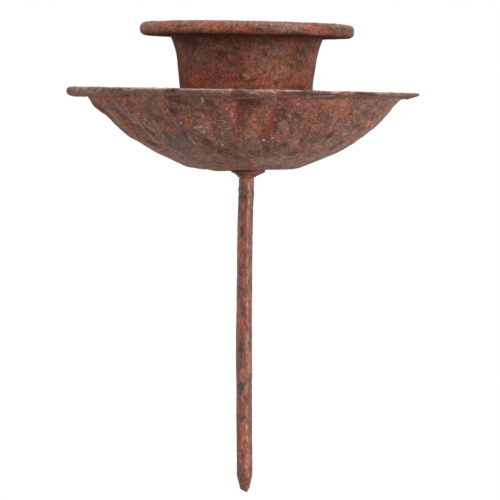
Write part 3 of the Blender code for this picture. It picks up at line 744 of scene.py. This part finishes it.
class Graph:
    """Adds and links a material's nodes by short calls.

    Places are in millimetres, and drawn is how many times longer its noise is drawn along the Z axis.
    """

    def __init__(self, name, drawn=1.0):
        self.material = bpy.data.materials.new(name)
        self.material.use_nodes = True
        self.tree = self.material.node_tree
        self.shader = self.tree.nodes["Principled BSDF"]
        place = self.add("TexCoord").outputs["Object"]
        self.place = self.vector("MULTIPLY", place, (1 / MM, 1 / MM, 1 / MM / drawn))

    def add(self, kind, inputs=None, **settings):
        made = self.tree.nodes.new("ShaderNode" + kind)
        for key, value in settings.items():
            setattr(made, key, value)
        for key, value in (inputs or {}).items():
            self.put(made.inputs[key], value)
        return made

    def put(self, socket, value):
        if isinstance(value, bpy.types.NodeSocket):
            self.tree.links.new(value, socket)
        else:
            socket.default_value = value

    def vector(self, operation, a, b=(0, 0, 0)):
        return self.add("VectorMath", {0: a, 1: b}, operation=operation).outputs[0]

    def texture(self, place, size, detail, rough=0.5, warp=0.0):
        """A noise texture at these places, with lumps of about size millimetres."""
        values = {"Scale": 1 / size, "Detail": detail, "Roughness": rough, "Distortion": warp}
        return self.add("TexNoise", {"Vector": place, **values})

    def noise(self, size, detail, rough, warp, seed):
        """Noise from 0 to 1 with lumps of about size millimetres."""
        moved = self.vector("ADD", self.place, (seed, -seed, seed * 2))
        return self.texture(moved, size, detail, rough, warp).outputs["Fac"]

    def hues(self, size, swing, seed):
        """A colour of about 1 in each channel, with each channel straying by a noise of its own."""
        moved = self.vector("ADD", self.place, (seed, -seed, seed * 2))
        values = {0: self.texture(moved, size, 3).outputs["Color"], 1: (swing,) * 3, 2: (1 - swing / 2,) * 3}
        return self.add("VectorMath", values, operation="MULTIPLY_ADD").outputs[0]

    def cells(self, size, seed):
        """The distance to the middle of the nearest cell, for cells of about size millimetres."""
        moved = self.vector("ADD", self.place, (seed, seed, -seed))
        return self.add("TexVoronoi", {"Vector": moved, "Scale": 1 / size}).outputs["Distance"]

    def step(self, value, low, high, to_low=0.0, to_high=1.0):
        """A smooth step between the two outcomes, as the value goes from low to high."""
        values = {0: value, 1: low, 2: high, 3: to_low, 4: to_high}
        return self.add("MapRange", values, interpolation_type="SMOOTHSTEP").outputs[0]

    def maths(self, operation, a, b=0.0):
        return self.add("Math", {0: a, 1: b}, operation=operation).outputs[0]

    def mix(self, share, below, above, blend="MIX"):
        made = self.add("Mix", {0: share, 6: below, 7: above}, data_type="RGBA", blend_type=blend)
        return made.outputs[2]

    def lay(self, colour, *layers):
        """Lays tones over the colour in turn. A layer is a tone, the mask where it lies, and a strength."""
        for tone, mask, strength in layers:
            colour = self.mix(self.maths("MULTIPLY", mask, strength), colour, srgb(*tone))
        return colour

    def cover(self, noise, cover, soft):
        """1 over about this share of a noise, with soft edges, and 0 elsewhere."""
        middle = NOISE_MIDDLE + NOISE_SPREAD * (0.5 - cover)
        return self.step(noise, middle - soft, middle + soft)

    def patches(self, size, cover, seed, soft=0.11, warp=0.3):
        """Soft patches of about size millimetres, over about this share of the surface."""
        return self.cover(self.noise(size, 5, 0.6, warp, seed), cover, soft)

    def streaks(self, size, reach, stretch, seed, cover):
        """Streaks of about size millimetres that run down a piece, at about this reach from its axis."""
        ahead = self.vector("NORMALIZE", self.vector("MULTIPLY", self.place, (1, 1, 0)))
        rounded_out = self.vector("MULTIPLY", ahead, (reach,) * 3)
        drop = self.vector("MULTIPLY", self.place, (0.05, 0.05, 1 / stretch))
        moved = self.vector("ADD", self.vector("ADD", rounded_out, drop), (seed, seed, -seed))
        return self.cover(self.texture(moved, size, 5, 0.6, 0.3).outputs["Fac"], cover, 0.1)

    def value(self, name):
        """A mesh attribute, by its name."""
        return self.add("Attribute", attribute_name=name).outputs["Fac"]

    def ragged(self, name, seed, size=0.5):
        """A painted mask, broken up by fine noise."""
        breaks = self.maths("MULTIPLY", self.noise(size, 4, 0.65, 0, seed), 0.8)
        broken = self.maths("ADD", self.value(name), breaks)
        return self.maths("MULTIPLY", self.step(broken, 0.35, 1.15), self.step(self.value(name), 0.02, 0.3))


# Tones of the rust, and of its painted light and shade, as 0 to 255
BROWN = (122, 77, 60)
UMBER = (94, 60, 46)
RED = (148, 84, 67)
EMBER = (140, 76, 56)
PINK = (146, 100, 88)
GREY = (110, 89, 78)
SLATE = (92, 82, 84)
# For small dark patches, hollows and pits, and for painted shade in the flutes' grooves
SOOT_AND_SHADE = (50, 30, 23)
CHAR = (52, 27, 18)
# The tone of the painted shade under the cup's brim
BRIM_SHADE_TONE = (52, 25, 13)
MAROON = (112, 50, 38)
VIVID = (186, 86, 64)
PALE = (200, 172, 160)
# The tone of the spike's painted highlight
HIGHLIGHT_TAN = (164, 116, 103)
LEAD = (86, 71, 67)
# The tone of the painted light on the cup brim's outer band
ROSE = (158, 126, 118)
SALMON = (170, 107, 87)
WINE = (132, 60, 48)
ASH = (142, 116, 106)
OLIVE = (102, 82, 62)
ORANGE = (156, 92, 64)

# How deep the rust's lumps and its pits look
LUMP_RELIEF = 0.28 * MM
PIT_RELIEF = 0.09 * MM


# What these functions add to a seed only makes each noise differ from the others


def broad_rust(graph, seed, reach, grey, red, reds, haze):
    """The brown ground with broad patches, streaks that run down the piece, and grooves greyed as painted
    shade.
    """
    return graph.lay(
        graph.mix(graph.patches(5, 0.6, seed, 0.14), srgb(*UMBER), srgb(*BROWN)),
        (PINK, graph.patches(2.6, 0.4, seed + 23), 0.45 * haze),
        (red, graph.patches(4, reds, seed + 11), 0.4),
        (GREY, graph.patches(3.2, grey, seed + 37), 0.5 * haze),
        (GREY, graph.streaks(1.6, reach, 5, seed + 39, grey), 0.5 * haze),
        (PINK, graph.streaks(1.3, reach, 6, seed + 27, reds), 0.4 * haze),
        (UMBER, graph.streaks(1.1, reach, 5, seed + 29, 0.25), 0.45),
        (OLIVE, graph.patches(2.2, 0.3, seed + 73), 0.45),
        # Painted shade: the flutes' grooves greyed
        (GREY, graph.step(graph.value("groove"), 0.35, 0.9), 0.45),
    )


def light_strokes(graph, colour, seed, red, ash_and_highlight_tone, rim):
    """The lip's tone, painted light on the cup, and the strokes apart from the dark ones, some of them
    painted light.
    """
    return graph.lay(
        colour,
        # The lip's tone, which on the cup is the painted light on the brim's band
        (rim, graph.ragged("lip", seed + 21, 1.6), 0.7),
        (ash_and_highlight_tone, graph.ragged("ash", seed + 3), 0.75),
        (SLATE, graph.ragged("slate", seed + 5), 0.7),
        (red, graph.ragged("red", seed + 7, 0.9), 0.68),
        (SALMON, graph.ragged("salmon", seed + 17, 0.9), 0.7),
        (VIVID, graph.ragged("vivid", seed + 35, 0.8), 0.7),
    )


def small_rust(graph, colour, seed, haze):
    """Small patches, and over them painted shade in the flutes' grooves, the maroon and dark strokes (some of
    them painted shade), the hollows, and painted shade under the cup's brim.
    """
    return graph.lay(
        colour,
        (ORANGE, graph.patches(2.0, 0.25, seed + 75), 0.35),
        (PINK, graph.patches(1.6, 0.25, seed + 77, 0.09), 0.4 * haze),
        (UMBER, graph.patches(0.9, 0.35, seed + 45, 0.08), 0.5),
        (SOOT_AND_SHADE, graph.patches(1.1, 0.04, seed + 51, 0.06), 0.5),
        # Painted shade: the deepest part of the flutes' grooves darkened
        (SOOT_AND_SHADE, graph.step(graph.value("groove"), 0.6, 1.0), 0.4),
        (MAROON, graph.ragged("maroon", seed + 33, 0.8), 0.75),
        (CHAR, graph.ragged("dark", seed + 9), 0.65),
        (SOOT_AND_SHADE, graph.step(graph.value("relief"), -0.3, -0.9), 0.45),
        # Painted shade under the cup's brim
        (BRIM_SHADE_TONE, graph.ragged("painted_brim_shade", seed + 15, 1.2), 0.85),
    )


def wear_and_edge_light(graph, colour, seed, pits):
    """Stains on the inside, pale edges partly scuffed and partly painted highlight, and dark pits."""
    for tone, size, cover, own_seed in ((UMBER, 7, 0.4, 83), (ASH, 5, 0.25, 85), (RED, 6, 0.3, 87)):
        stain = graph.patches(size, cover, seed + own_seed, 0.08, 0.6)
        colour = graph.lay(colour, (tone, graph.maths("MULTIPLY", graph.value("bare"), stain), 0.4))
    # Pale edges: partly scuffed, partly painted highlight where light falls on their tops; noise breaks them
    # up
    edge_breaks = graph.step(graph.noise(1.6, 5, 0.7, 0, seed + 19), 0.42, 0.6)
    edges = graph.maths("MULTIPLY", graph.value("edge"), edge_breaks)
    return graph.lay(colour, (PALE, edges, 0.6), (SOOT_AND_SHADE, graph.step(pits, 0.42, 0.32), 0.8))


def mottled(graph, colour, seed, tint, mottle, swing):
    """The colour times the tint, varied in brightness and in hue at the finest scale."""
    grain = graph.noise(0.26, 2, 0.6, 0, seed + 61)
    crust = graph.noise(0.65, 4, 0.7, 0.4, seed + 63)
    fine_shade = graph.step(grain, 0.3, 0.7, 1 - 0.36 * mottle, 1 + 0.36 * mottle)
    broad_shade = graph.step(crust, 0.32, 0.68, 1 - 0.24 * mottle, 1 + 0.26 * mottle)
    shade = graph.maths("MULTIPLY", fine_shade, broad_shade)
    shades = {key: graph.maths("MULTIPLY", shade, share) for key, share in enumerate(tint)}
    colour = graph.mix(1.0, colour, graph.add("CombineColor", shades).outputs[0], "MULTIPLY")
    return graph.mix(1.0, colour, graph.hues(1.3, swing, seed + 79), "MULTIPLY")


def pale_chips_and_highlights(graph, seed, haze):
    """A mask of pale chips (round specks in patches, flakes) and of pale strokes, some of them painted
    highlights.
    """
    dots = graph.step(graph.cells(0.7, seed), 0.2, 0.08)
    dots = graph.maths("MULTIPLY", dots, graph.patches(2.5, 0.3, seed + 71))
    flakes = graph.step(graph.noise(0.5, 4, 0.75, 0.2, seed + 69), 0.6, 0.7)
    flakes = graph.maths("MULTIPLY", flakes, 0.55 * haze)
    chips = graph.maths("MAXIMUM", graph.maths("MULTIPLY", dots, 0.5), flakes)
    return graph.maths("MAXIMUM", chips, graph.ragged("pale", seed + 13, 0.3))


def rust(
    name, seed, reach, grey, red=RED, reds=0.4, haze=1.0, tint=(1, 1, 1), ash_and_highlight_tone=GREY, rim=LEAD,
    roughness=0.82, shine=0.25, drawn=1.0, mottle=1.0, swing=0.6,
):
    """Matte rust paint: brown with darker, redder and greyer patches, pits and chips, painted shade in the
    flutes' grooves and under the cup's brim, and pale edges partly scuffed and partly painted highlight.

    Reach is the piece's usual distance from its axis in millimetres, grey and reds are the shares of its
    surface with such patches, haze is how much pink and grey lies on it, and the ash tone and rim are the
    tones of its ash strokes, some of them painted highlight, and of its lip, which on the cup is painted
    light.
    Tint multiplies all of it. Drawn is how far its noise is drawn out along the axis. Mottle and swing are
    how much its brightness and its hue vary at the finest scale.
    """
    graph = Graph(name, drawn)
    pits = graph.noise(0.42, 4, 0.75, 0.2, seed + 67)
    colour = broad_rust(graph, seed, reach, grey, red, reds, haze)
    colour = light_strokes(graph, colour, seed, red, ash_and_highlight_tone, rim)
    colour = small_rust(graph, colour, seed, haze)
    colour = wear_and_edge_light(graph, colour, seed, pits)
    colour = mottled(graph, colour, seed, tint, mottle, swing)
    colour = graph.lay(colour, (PALE, pale_chips_and_highlights(graph, seed, haze), 0.7))
    graph.put(graph.shader.inputs["Base Color"], colour)
    gloss = graph.noise(1.2, 3, 0.6, 0, seed + 81)
    gloss = graph.step(gloss, 0.3, 0.7, roughness - 0.1, roughness + 0.1)
    graph.put(graph.shader.inputs["Roughness"], gloss)
    lumps = graph.noise(0.9, 5, 0.72, 0.3, seed + 91)
    bump = graph.add("Bump", {"Strength": 1.0, "Distance": LUMP_RELIEF, "Height": lumps}).outputs[0]
    fine = graph.add("Bump", {"Strength": 1.0, "Distance": PIT_RELIEF, "Height": pits, "Normal": bump})
    graph.put(graph.shader.inputs["Normal"], fine.outputs[0])
    graph.shader.inputs["Specular IOR Level"].default_value = shine
    return graph.material


# Pieces

LUMP_SIZE, DENT_SIZE = 1.0 * MM, 5 * MM

# Painted shade on the cup below the brim, close to it and further down: how strong it is, and its reach
SHADE_NEAR, NEAR_REACH = 0.75, 0.7 * MM
SHADE_FAR, FAR_REACH = 0.65, 3 * MM


def roughen(turned, seed, calm, swell=0.09 * MM, grit=0.04 * MM):
    """Dents and roughens the surface, less where calm is low, and returns its relief from about -1 to 1."""
    lumps = turned.noise(LUMP_SIZE, 3, seed + 1)
    turned.push(calm * (swell * turned.noise(DENT_SIZE, 2, seed) + grit * lumps))
    return lumps


def finish(turned, camera, name, strokes, shades, material, node, closed=True):
    """Presses the marks in, builds the piece, gives it its material, hangs it on the root body and hides the
    CAD part.
    """
    masks = painted(turned, camera, strokes)
    turned.push(GRAIN_HEIGHT * masks["pale"] - PIT_DEPTH * masks["dark"])
    piece = turned.build(name, {**shades, **masks}, closed)
    piece.data.materials.append(material)
    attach(piece, "root")
    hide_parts(node)


def make_cup(camera):
    """The cup: floor, flared wall and a brim folded under at its edge."""
    half = CUP_SHEET / 2
    floor = cup_low.z + half
    brim_top = cup_high.z - half
    brim_bottom = cup_high.z - BRIM_THICKNESS + half
    brim_edge = (cup_high.x - cup_low.x) / 2 - half
    centre_line = rounded(
        [
            ((HOLE_RADIUS, floor), 0),
            ((CUP_BASE_RADIUS - half, floor), CUP_BASE_FILLET),
            ((WAIST_RADIUS - half, cup_low.z + WAIST_HEIGHT), WAIST_FILLET),
            ((THROAT_RADIUS - half, brim_top), THROAT_FILLET),
            ((brim_edge, brim_top), BRIM_TOP_FILLET),
            ((brim_edge, brim_bottom), BRIM_BOTTOM_FILLET),
            ((brim_edge - BRIM_RETURN_LENGTH, brim_bottom), 0),
        ]
    )

    def outside_rings(radius, height):
        under_brim = (radius < brim_edge - EDGE_BAND) & (radius > THROAT_RADIUS + EDGE_BAND)
        return np.where((height < cup_low.z + EDGE_BAND) | under_brim, CUP_HIDDEN_RINGS, SHEET_RINGS)

    def inside_rings(radius, _):
        return np.where(radius > THROAT_RADIUS - 0.5 * MM, SHEET_RINGS, CUP_INSIDE_RINGS)

    cup = Turned(sheet_outline(centre_line, CUP_SHEET, outside_rings, inside_rings), CUP_STEPS)
    above_floor = smooth_step(cup.height, cup_low.z + CUP_CALM_LOW, cup_low.z + CUP_CALM_HIGH)
    at_edge = (cup.side < 0) * (cup.radius > brim_edge - EDGE_BAND)
    # The top of the brim's folded edge: paler, partly worn and partly painted highlight from above
    worn_and_lit = 0.4 * at_edge * smooth_step(cup.up, 0.6, 0.9)
    # Painted shade under the brim: dark on its underside in from its edge, and fading down the neck's outside
    from_edge = smooth_step(brim_edge - cup.radius, *BRIM_DARKENS)
    under_brim = from_edge * (cup.radius > THROAT_RADIUS - EDGE_BAND) * (cup.up < -0.85)
    below_brim = np.clip(brim_bottom + BRIM_START - cup.height, 0, None)
    painted_brim_shade = SHADE_NEAR * np.exp(-below_brim / NEAR_REACH) + SHADE_FAR * np.exp(-below_brim / FAR_REACH)
    painted_brim_shade = np.maximum((cup.side > 0) * painted_brim_shade, under_brim)
    relief = roughen(cup, 3, above_floor)
    cup.height -= BRIM_SINK * smooth_step(cup.height, brim_bottom + BRIM_START, brim_top)
    cup.radius -= BRIM_TRIM * smooth_step(cup.radius, THROAT_RADIUS + EDGE_BAND, brim_edge)
    cup.height -= CUP_SLOPE * cup.x() * above_floor
    cup.shift -= NECK_SHIFT * above_floor
    # Painted light from above: a lighter rose tone on the brim's outer band, none at its bottom, most at its
    # top
    at_edge = (cup.side < 0) * (cup.radius > brim_edge - EDGE_BAND)
    painted_brim_light = 0.7 * at_edge * smooth_step(cup.height, brim_bottom, brim_top)
    shades = {"relief": relief, "edge": worn_and_lit, "painted_brim_shade": painted_brim_shade, "lip": painted_brim_light}
    material = rust(
        "rust_on_cup", 3.0, 14, grey=0.25, red=EMBER, reds=0.45, haze=0.4, tint=(1.06, 0.97, 0.93), ash_and_highlight_tone=ASH,
        rim=ROSE, shine=0.2, swing=0.7,
    )
    finish(cup, camera, "rusted_cup_shell", CUP_STROKES, shades, material, "candle_cup")


def grooves():
    """Where the grooves of the flutes lie round the dish, in order, as angles from the +X axis."""
    front = np.radians(FRONT_GROOVES) - math.pi / 2
    first, last = front[-1], front[0] + 2 * math.pi
    behind = first + (last - first) * np.arange(1, FLUTES_BEHIND) / FLUTES_BEHIND
    return np.concatenate([front, behind, [last]])


def flute(angle):
    """How deep the flutes are at each angle, from 0 on a crest to 1 in a groove."""
    places = grooves()
    turned = (angle - places[0]) % (2 * math.pi) + places[0]
    before = np.clip(np.searchsorted(places, turned, side="right") - 1, 0, len(places) - 2)
    share = (turned - places[before]) / (places[before + 1] - places[before])
    crest = np.sqrt(np.sin(math.pi * share) ** 2 + GROOVE_ROUNDING)
    return np.clip(1 - crest, 0, 1) ** GROOVE_SHARPNESS


def beat_out_of_round(dish, lip_start):
    """Shifts, swells and tilts the dish, and hammers its hem thin in places, as the photograph shows it."""
    # The bowl and the lip sit to the left, and the bowl swells, most at its left
    high = smooth_step(dish.height, *HIGH_BOWL)
    left = np.clip(-np.cos(dish.angle), 0, 1) ** 4
    dish.radius += high * (BOWL_SWELL + LEFT_SWELL * left * smooth_step(dish.height, *LEFT_SWELL_FADES))
    dish.shift -= BOWL_SHIFT * smooth_step(dish.height, *SHIFT_GROWS) + LIP_SHIFT * high
    # The hem droops, waves, is thinned from below and is chipped at its edge
    across, shares = np.transpose(HEM_THINNING)
    thinned = np.interp(np.cos(dish.angle), across, shares)
    along_lip = np.clip((dish.radius - lip_start + LIP_LEAD) / (LIP_WIDTH + LIP_LEAD), 0, 1)
    under_lip = smooth_step(dish.radius, lip_start - LIP_BLEND, lip_start)
    under_lip *= smooth_step(dish_high.z - dish.height, 0, 1 * MM)
    dish.radius -= LIP_TRIM * along_lip
    dish.height -= HEM_DROOP * under_lip * (1 - along_lip)
    dish.height -= HEM_WAVES * dish.noise(WAVE_SIZE, 2, 53) * under_lip
    dish.height += thinned * along_lip * (dish_high.z - dish.height)
    dish.height += HEM_CHIPS * dish.noise(CHIP_SIZE, 2, 57) * smooth_step(along_lip, *CHIPS_START)
    # The dish leans, its floor rises round the boss, and its wall is beaten up and down
    dish.height -= DISH_SLOPE * dish.x() * smooth_step(dish.height, *LEAN_GROWS)
    low = (dish.side > 0) * smooth_step(dish.height, *LOW_FLOOR)
    beyond_boss = smooth_step(dish.radius, BOSS_RADIUS - BOSS_BLEND, BOSS_RADIUS)
    rightward = smooth_step(dish.x(), *FLOOR_TILTS_OVER)
    lift = FLOOR_LIFT_LEFT + (FLOOR_LIFT_RIGHT - FLOOR_LIFT_LEFT) * rightward
    dish.height += lift * low * beyond_boss
    for lifts, sideways in ((LEFT_LIFTS, -np.cos(dish.angle)), (RIGHT_LIFTS, np.cos(dish.angle))):
        radii, heights = np.transpose(lifts) * MM
        dish.height += np.interp(dish.radius, radii, heights) * smooth_step(sideways, *LIFTS_START)


def make_dish(camera):
    """The drip dish: a flat floor, a fluted bowl and a flat lip with a hemmed edge."""
    half = DISH_SHEET / 2
    floor = dish_low.z + half
    lip = dish_high.z - half
    hem = dish_high.z - HEM_THICKNESS + half
    edge = (dish_high.x - dish_low.x) / 2 - half
    lip_start = edge + half - LIP_WIDTH
    centre_line = rounded(
        [
            ((HOLE_RADIUS, floor), 0),
            ((FLOOR_RADIUS, floor), FLOOR_FILLET),
            ((BELLY_RADIUS, dish_low.z + BELLY_HEIGHT), BELLY_FILLET),
            ((lip_start, lip), LIP_FILLET),
            ((edge, lip), HEM_TOP_FILLET),
            ((edge, hem), (lip - hem) / 2),
            ((edge - HEM_LENGTH, hem), 0),
        ]
    )

    def outside_rings(radius, _):
        hidden = (radius < BOSS_RADIUS) | (radius > edge - HEM_LENGTH)
        return np.where(hidden, DISH_HIDDEN_RINGS, SHEET_RINGS)

    def inside_rings(radius, _):
        within = np.where(radius > lip_start - LIP_BLEND, DISH_LIP_RINGS, DISH_INSIDE_RINGS)
        return np.where(radius > edge - LIP_BLEND, DISH_EDGE_RINGS, within)

    dish = Turned(sheet_outline(centre_line, DISH_SHEET, outside_rings, inside_rings), DISH_STEPS)
    belly = smooth_step(dish.radius, FLOOR_RADIUS, BELLY_RADIUS)
    rim = smooth_step(dish.radius, BELLY_RADIUS, lip_start)
    down_the_bowl = np.clip(1 - (dish.height - dish_low.z) / (dish_high.z - dish_low.z), 0, 1)
    pressed = flute(dish.angle + FLUTE_SWIRL * np.clip(-np.cos(dish.angle), 0, 1) * down_the_bowl)
    dish.radius -= (FLUTE_DEPTH * belly + (LIP_FLUTE_DEPTH - FLUTE_DEPTH) * rim**3) * pressed
    # The top of the hem's edge: paler, partly worn and partly painted highlight from above
    worn_and_lit = (dish.side < 0) * (dish.radius > edge - WORN_AND_LIT_WIDTH) * smooth_step(dish.up, 0.3, 0.8)
    on_hem = (dish.side < 0) & (dish.radius > edge - HEM_TONE_WIDTH)
    near_lip = smooth_step(dish.height, dish_high.z - TONE_DROP_LOW, dish_high.z - TONE_DROP_HIGH)
    below_lip = (dish.side > 0) * OUTSIDE_TONE * near_lip
    # The groove mask carries the painted shade in the flutes' grooves
    shades = {"edge": worn_and_lit, "groove": pressed * belly * (1 - rim**3), "lip": np.maximum(on_hem, below_lip)}
    shades["relief"] = roughen(dish, 7, smooth_step(dish.radius, *DISH_CALM))
    beat_out_of_round(dish, lip_start)
    material = rust(
        "rust_on_dish", 17.0, 26, grey=0.45, reds=0.3, haze=0.85, tint=(1.03, 0.995, 0.975), ash_and_highlight_tone=ASH,
        mottle=1.3, swing=0.5,
    )
    finish(dish, camera, "rusted_dish_shell", DISH_STROKES, shades, material, "drip_dish")


def make_spike(camera):
    """The spike: a hammered rivet head, its tenon, and a rod with a slanted, cropped point."""
    shoulder = collar_low.z - SHOULDER_GAP
    corners = [
        ((CENTRE_RADIUS, spike_high.z), 0),
        ((HEAD_RADIUS - HEAD_HEIGHT / 2, spike_high.z), 0.5 * MM),
        ((HEAD_RADIUS, spike_high.z - HEAD_HEIGHT / 2), 0.4 * MM),
        ((HEAD_RADIUS, spike_high.z - HEAD_HEIGHT), 0.1 * MM),
        ((TENON_RADIUS, spike_high.z - HEAD_HEIGHT), 0.1 * MM),
        ((TENON_RADIUS, shoulder), 0.1 * MM),
        ((SPIKE_RADIUS, shoulder), 0.25 * MM),
        ((SPIKE_RADIUS, spike_low.z + POINT_LENGTH), 1.5 * MM),
        ((POINT_RADIUS, spike_low.z - CROP_ALLOWANCE), 0.2 * MM),
        ((CENTRE_RADIUS, spike_low.z - CROP_ALLOWANCE), 0),
    ]
    spike = Turned(solid_outline(corners, SPIKE_RINGS), SPIKE_STEPS)
    below_shoulder = smooth_step(spike.height, shoulder, shoulder - 1 * MM)
    relief = roughen(spike, 13, below_shoulder, swell=0.04 * MM, grit=0.03 * MM)
    crop = spike_low.z + CROP_ALLOWANCE - CROP_SLOPE * spike.x()
    blunted = spike_low.z + BLUNT_SLOPE * (spike.x() - BLUNT_START)
    spike.height = np.maximum(spike.height, np.maximum(crop, blunted))
    heights, shifts, swells = np.transpose(ROD_STRAYS[::-1]) * MM
    below_collar = spike.height < shoulder
    spike.radius += spike.out * np.interp(spike.height, heights, swells) * below_collar
    spike.shift += np.interp(spike.height, heights, shifts) * below_collar
    spike.shift += BEND * np.clip((-spike.height - BEND_START) / BEND_LENGTH, 0, None) ** BEND_CURVE
    shades = {"relief": relief}
    # The spike's ash strokes are its painted highlight, in a tan tone
    material = rust(
        "rust_on_spike", 29.0, 1.5, grey=0.15, red=WINE, haze=0.3, tint=(1.04, 0.92, 0.9), ash_and_highlight_tone=HIGHLIGHT_TAN,
        roughness=0.5, shine=0.35, drawn=3.0, mottle=1.2, swing=0.9,
    )
    finish(
        spike, camera, "rusted_spike_rod", SPIKE_STROKES, shades, material, "spike",
        closed=False,
    )


def make_collar(camera):
    """The conical collar between the shank's shoulder and the dish."""
    top = collar_high.z + COLLAR_RISE_LEFT
    flare = [((radius * MM, height * MM), 0.1 * MM) for radius, height in COLLAR_FLARE]
    corners = [
        ((HOLE_RADIUS, top), 0),
        ((COLLAR_TOP_RADIUS, top), 0.08 * MM),
        *flare,
        ((HOLE_RADIUS, collar_low.z), 0),
    ]
    collar = Turned(solid_outline(corners, COLLAR_RINGS), COLLAR_STEPS)
    relief = roughen(collar, 19, 1, swell=0.03 * MM, grit=0.03 * MM)
    rightward = smooth_step(collar.x(), -COLLAR_TOP_RADIUS, COLLAR_TOP_RADIUS)
    near_top = smooth_step(collar.height, top - 0.25 * MM, top)
    collar.height += (COLLAR_RISE_RIGHT - COLLAR_RISE_LEFT) * rightward * near_top
    share = smooth_step(collar.height, collar_low.z, collar_high.z - 0.4 * MM)
    collar.shift += COLLAR_SHIFT_LOW + (COLLAR_SHIFT_HIGH - COLLAR_SHIFT_LOW) * share
    shades = {"relief": relief}
    material = rust("rust_on_collar", 41.0, 3, grey=0.2, red=EMBER, haze=0.5, tint=(0.92, 0.9, 0.89))
    finish(
        collar, camera, "rusted_collar_cone", COLLAR_STROKES, shades, material, "spike_collar",
    )


def make_washer(camera):
    """The washer on the cup's floor, under the rivet head."""
    corners = [
        ((HOLE_RADIUS, washer_high.z), 0),
        ((washer_high.x, washer_high.z), 0.15 * MM),
        ((washer_high.x, washer_low.z), 0.15 * MM),
        ((HOLE_RADIUS, washer_low.z), 0),
    ]
    washer = Turned(solid_outline(corners, WASHER_RINGS), WASHER_STEPS)
    relief = roughen(washer, 23, 1, swell=0.02 * MM, grit=0.02 * MM)
    shades = {"relief": relief}
    material = rust("rust_on_washer", 53.0, 3, grey=0.5, reds=0.3)
    finish(washer, camera, "rusted_rivet_washer", {}, shades, material, "rivet_washer")


# Floor and light

FLOOR_DROP = 0.8
FLOOR_SIZE = 80.0

# How light the floor is to the rays that light the object and to the camera, how far out its shadow starts
# to fade and ends, and how much white hides it at its middle
FLOOR_TONE, FLOOR_TONE_SEEN = 0.85, 0.92
SHADOW_CORE, SHADOW_RADIUS = 0.18, 0.6
SHADOW_VEIL = 0.6

# How bright the light box is on the camera's side and behind the object
WORLD_LEVEL_FRONT = 0.4
WORLD_LEVEL_BACK = 0.3

# The lamps: name, degrees to the right of the camera, degrees up, distance, size and level, where a level
# of 1 lights a white surface to white
LAMPS = (
    ("top", 10, 72, 0.9, 0.6, 0.65),
    ("key", 55, 4, 0.9, 0.4, 1.0),
    ("side", -78, 2, 0.8, 0.4, 0.42),
    ("back", 165, 20, 1.0, 0.6, 0.5),
)


def white_for_camera(tree):
    """1 where a ray comes from the camera, or by way of a mirror or glass, else 0."""
    rays = tree.nodes.new("ShaderNodeLightPath")
    total = rays.outputs["Is Camera Ray"]
    for name in ("Is Glossy Ray", "Is Transmission Ray"):
        most = tree.nodes.new("ShaderNodeMath")
        most.operation = "MAXIMUM"
        tree.links.new(total, most.inputs[0])
        tree.links.new(rays.outputs[name], most.inputs[1])
        total = most.outputs[0]
    return total


def make_floor():
    """A wide pale floor below the point: white to the camera far out, and shadowed near the object."""
    bpy.ops.mesh.primitive_grid_add(size=FLOOR_SIZE, location=(0, 0, spike_low.z - FLOOR_DROP))
    floor = bpy.context.object
    floor.name = "studio_floor"
    graph = Graph("pale_floor")
    seen = white_for_camera(graph.tree)
    tone = graph.step(seen, 0, 1, FLOOR_TONE, FLOOR_TONE_SEEN)
    grey = graph.add("CombineColor", {0: tone, 1: tone, 2: tone}).outputs[0]
    graph.put(graph.shader.inputs["Base Color"], grey)
    graph.shader.inputs["Roughness"].default_value = 0.9
    place = graph.add("TexCoord").outputs["Object"]
    away = graph.add("VectorMath", {0: place}, operation="LENGTH").outputs["Value"]
    veil = graph.step(away, SHADOW_CORE, SHADOW_RADIUS, SHADOW_VEIL, 1)
    share = graph.maths("MULTIPLY", seen, veil)
    glow = graph.add("Emission", {"Strength": 1.0})
    mixed = graph.add("MixShader", {0: share, 1: graph.shader.outputs[0], 2: glow.outputs[0]})
    graph.put(graph.tree.nodes["Material Output"].inputs["Surface"], mixed.outputs[0])
    floor.data.materials.append(graph.material)


def make_world():
    """An even light box, brighter on the camera's side, and white where the camera looks past the object."""
    world = bpy.data.worlds.new("light_box")
    bpy.context.scene.world = world
    world.use_nodes = True
    tree = world.node_tree
    background = tree.nodes["Background"]
    background.inputs["Color"].default_value = (1, 1, 1, 1)
    direction = tree.nodes.new("ShaderNodeSeparateXYZ")
    tree.links.new(tree.nodes.new("ShaderNodeTexCoord").outputs["Generated"], direction.inputs[0])
    level = tree.nodes.new("ShaderNodeMapRange")
    for key, value in enumerate((-0.5, 0.5, WORLD_LEVEL_FRONT, WORLD_LEVEL_BACK), 1):
        level.inputs[key].default_value = value
    tree.links.new(direction.outputs["Y"], level.inputs[0])
    strength = tree.nodes.new("ShaderNodeMapRange")
    strength.inputs["To Max"].default_value = 1
    tree.links.new(white_for_camera(tree), strength.inputs[0])
    tree.links.new(level.outputs[0], strength.inputs["To Min"])
    tree.links.new(strength.outputs[0], background.inputs["Strength"])


def make_lamps():
    for name, azimuth, elevation, distance, size, level in LAMPS:
        data = bpy.data.lights.new(name, "AREA")
        data.size = size
        data.energy = level * (math.pi * distance) ** 2
        lamp = bpy.data.objects.new(name, data)
        bpy.context.scene.collection.objects.link(lamp)
        sideways = Matrix.Rotation(math.radians(azimuth), 3, "Z")
        upward = Matrix.Rotation(math.radians(-elevation), 3, "X")
        lamp.location = sideways @ upward @ Vector((0, -distance, 0))
        lamp.rotation_euler = (-lamp.location).to_track_quat("-Z", "Y").to_euler()


def main():
    camera = make_camera()
    make_cup(camera)
    make_dish(camera)
    make_spike(camera)
    make_collar(camera)
    make_washer(camera)
    make_floor()
    make_world()
    make_lamps()
    bpy.context.scene.view_settings.view_transform = "Standard"


main()
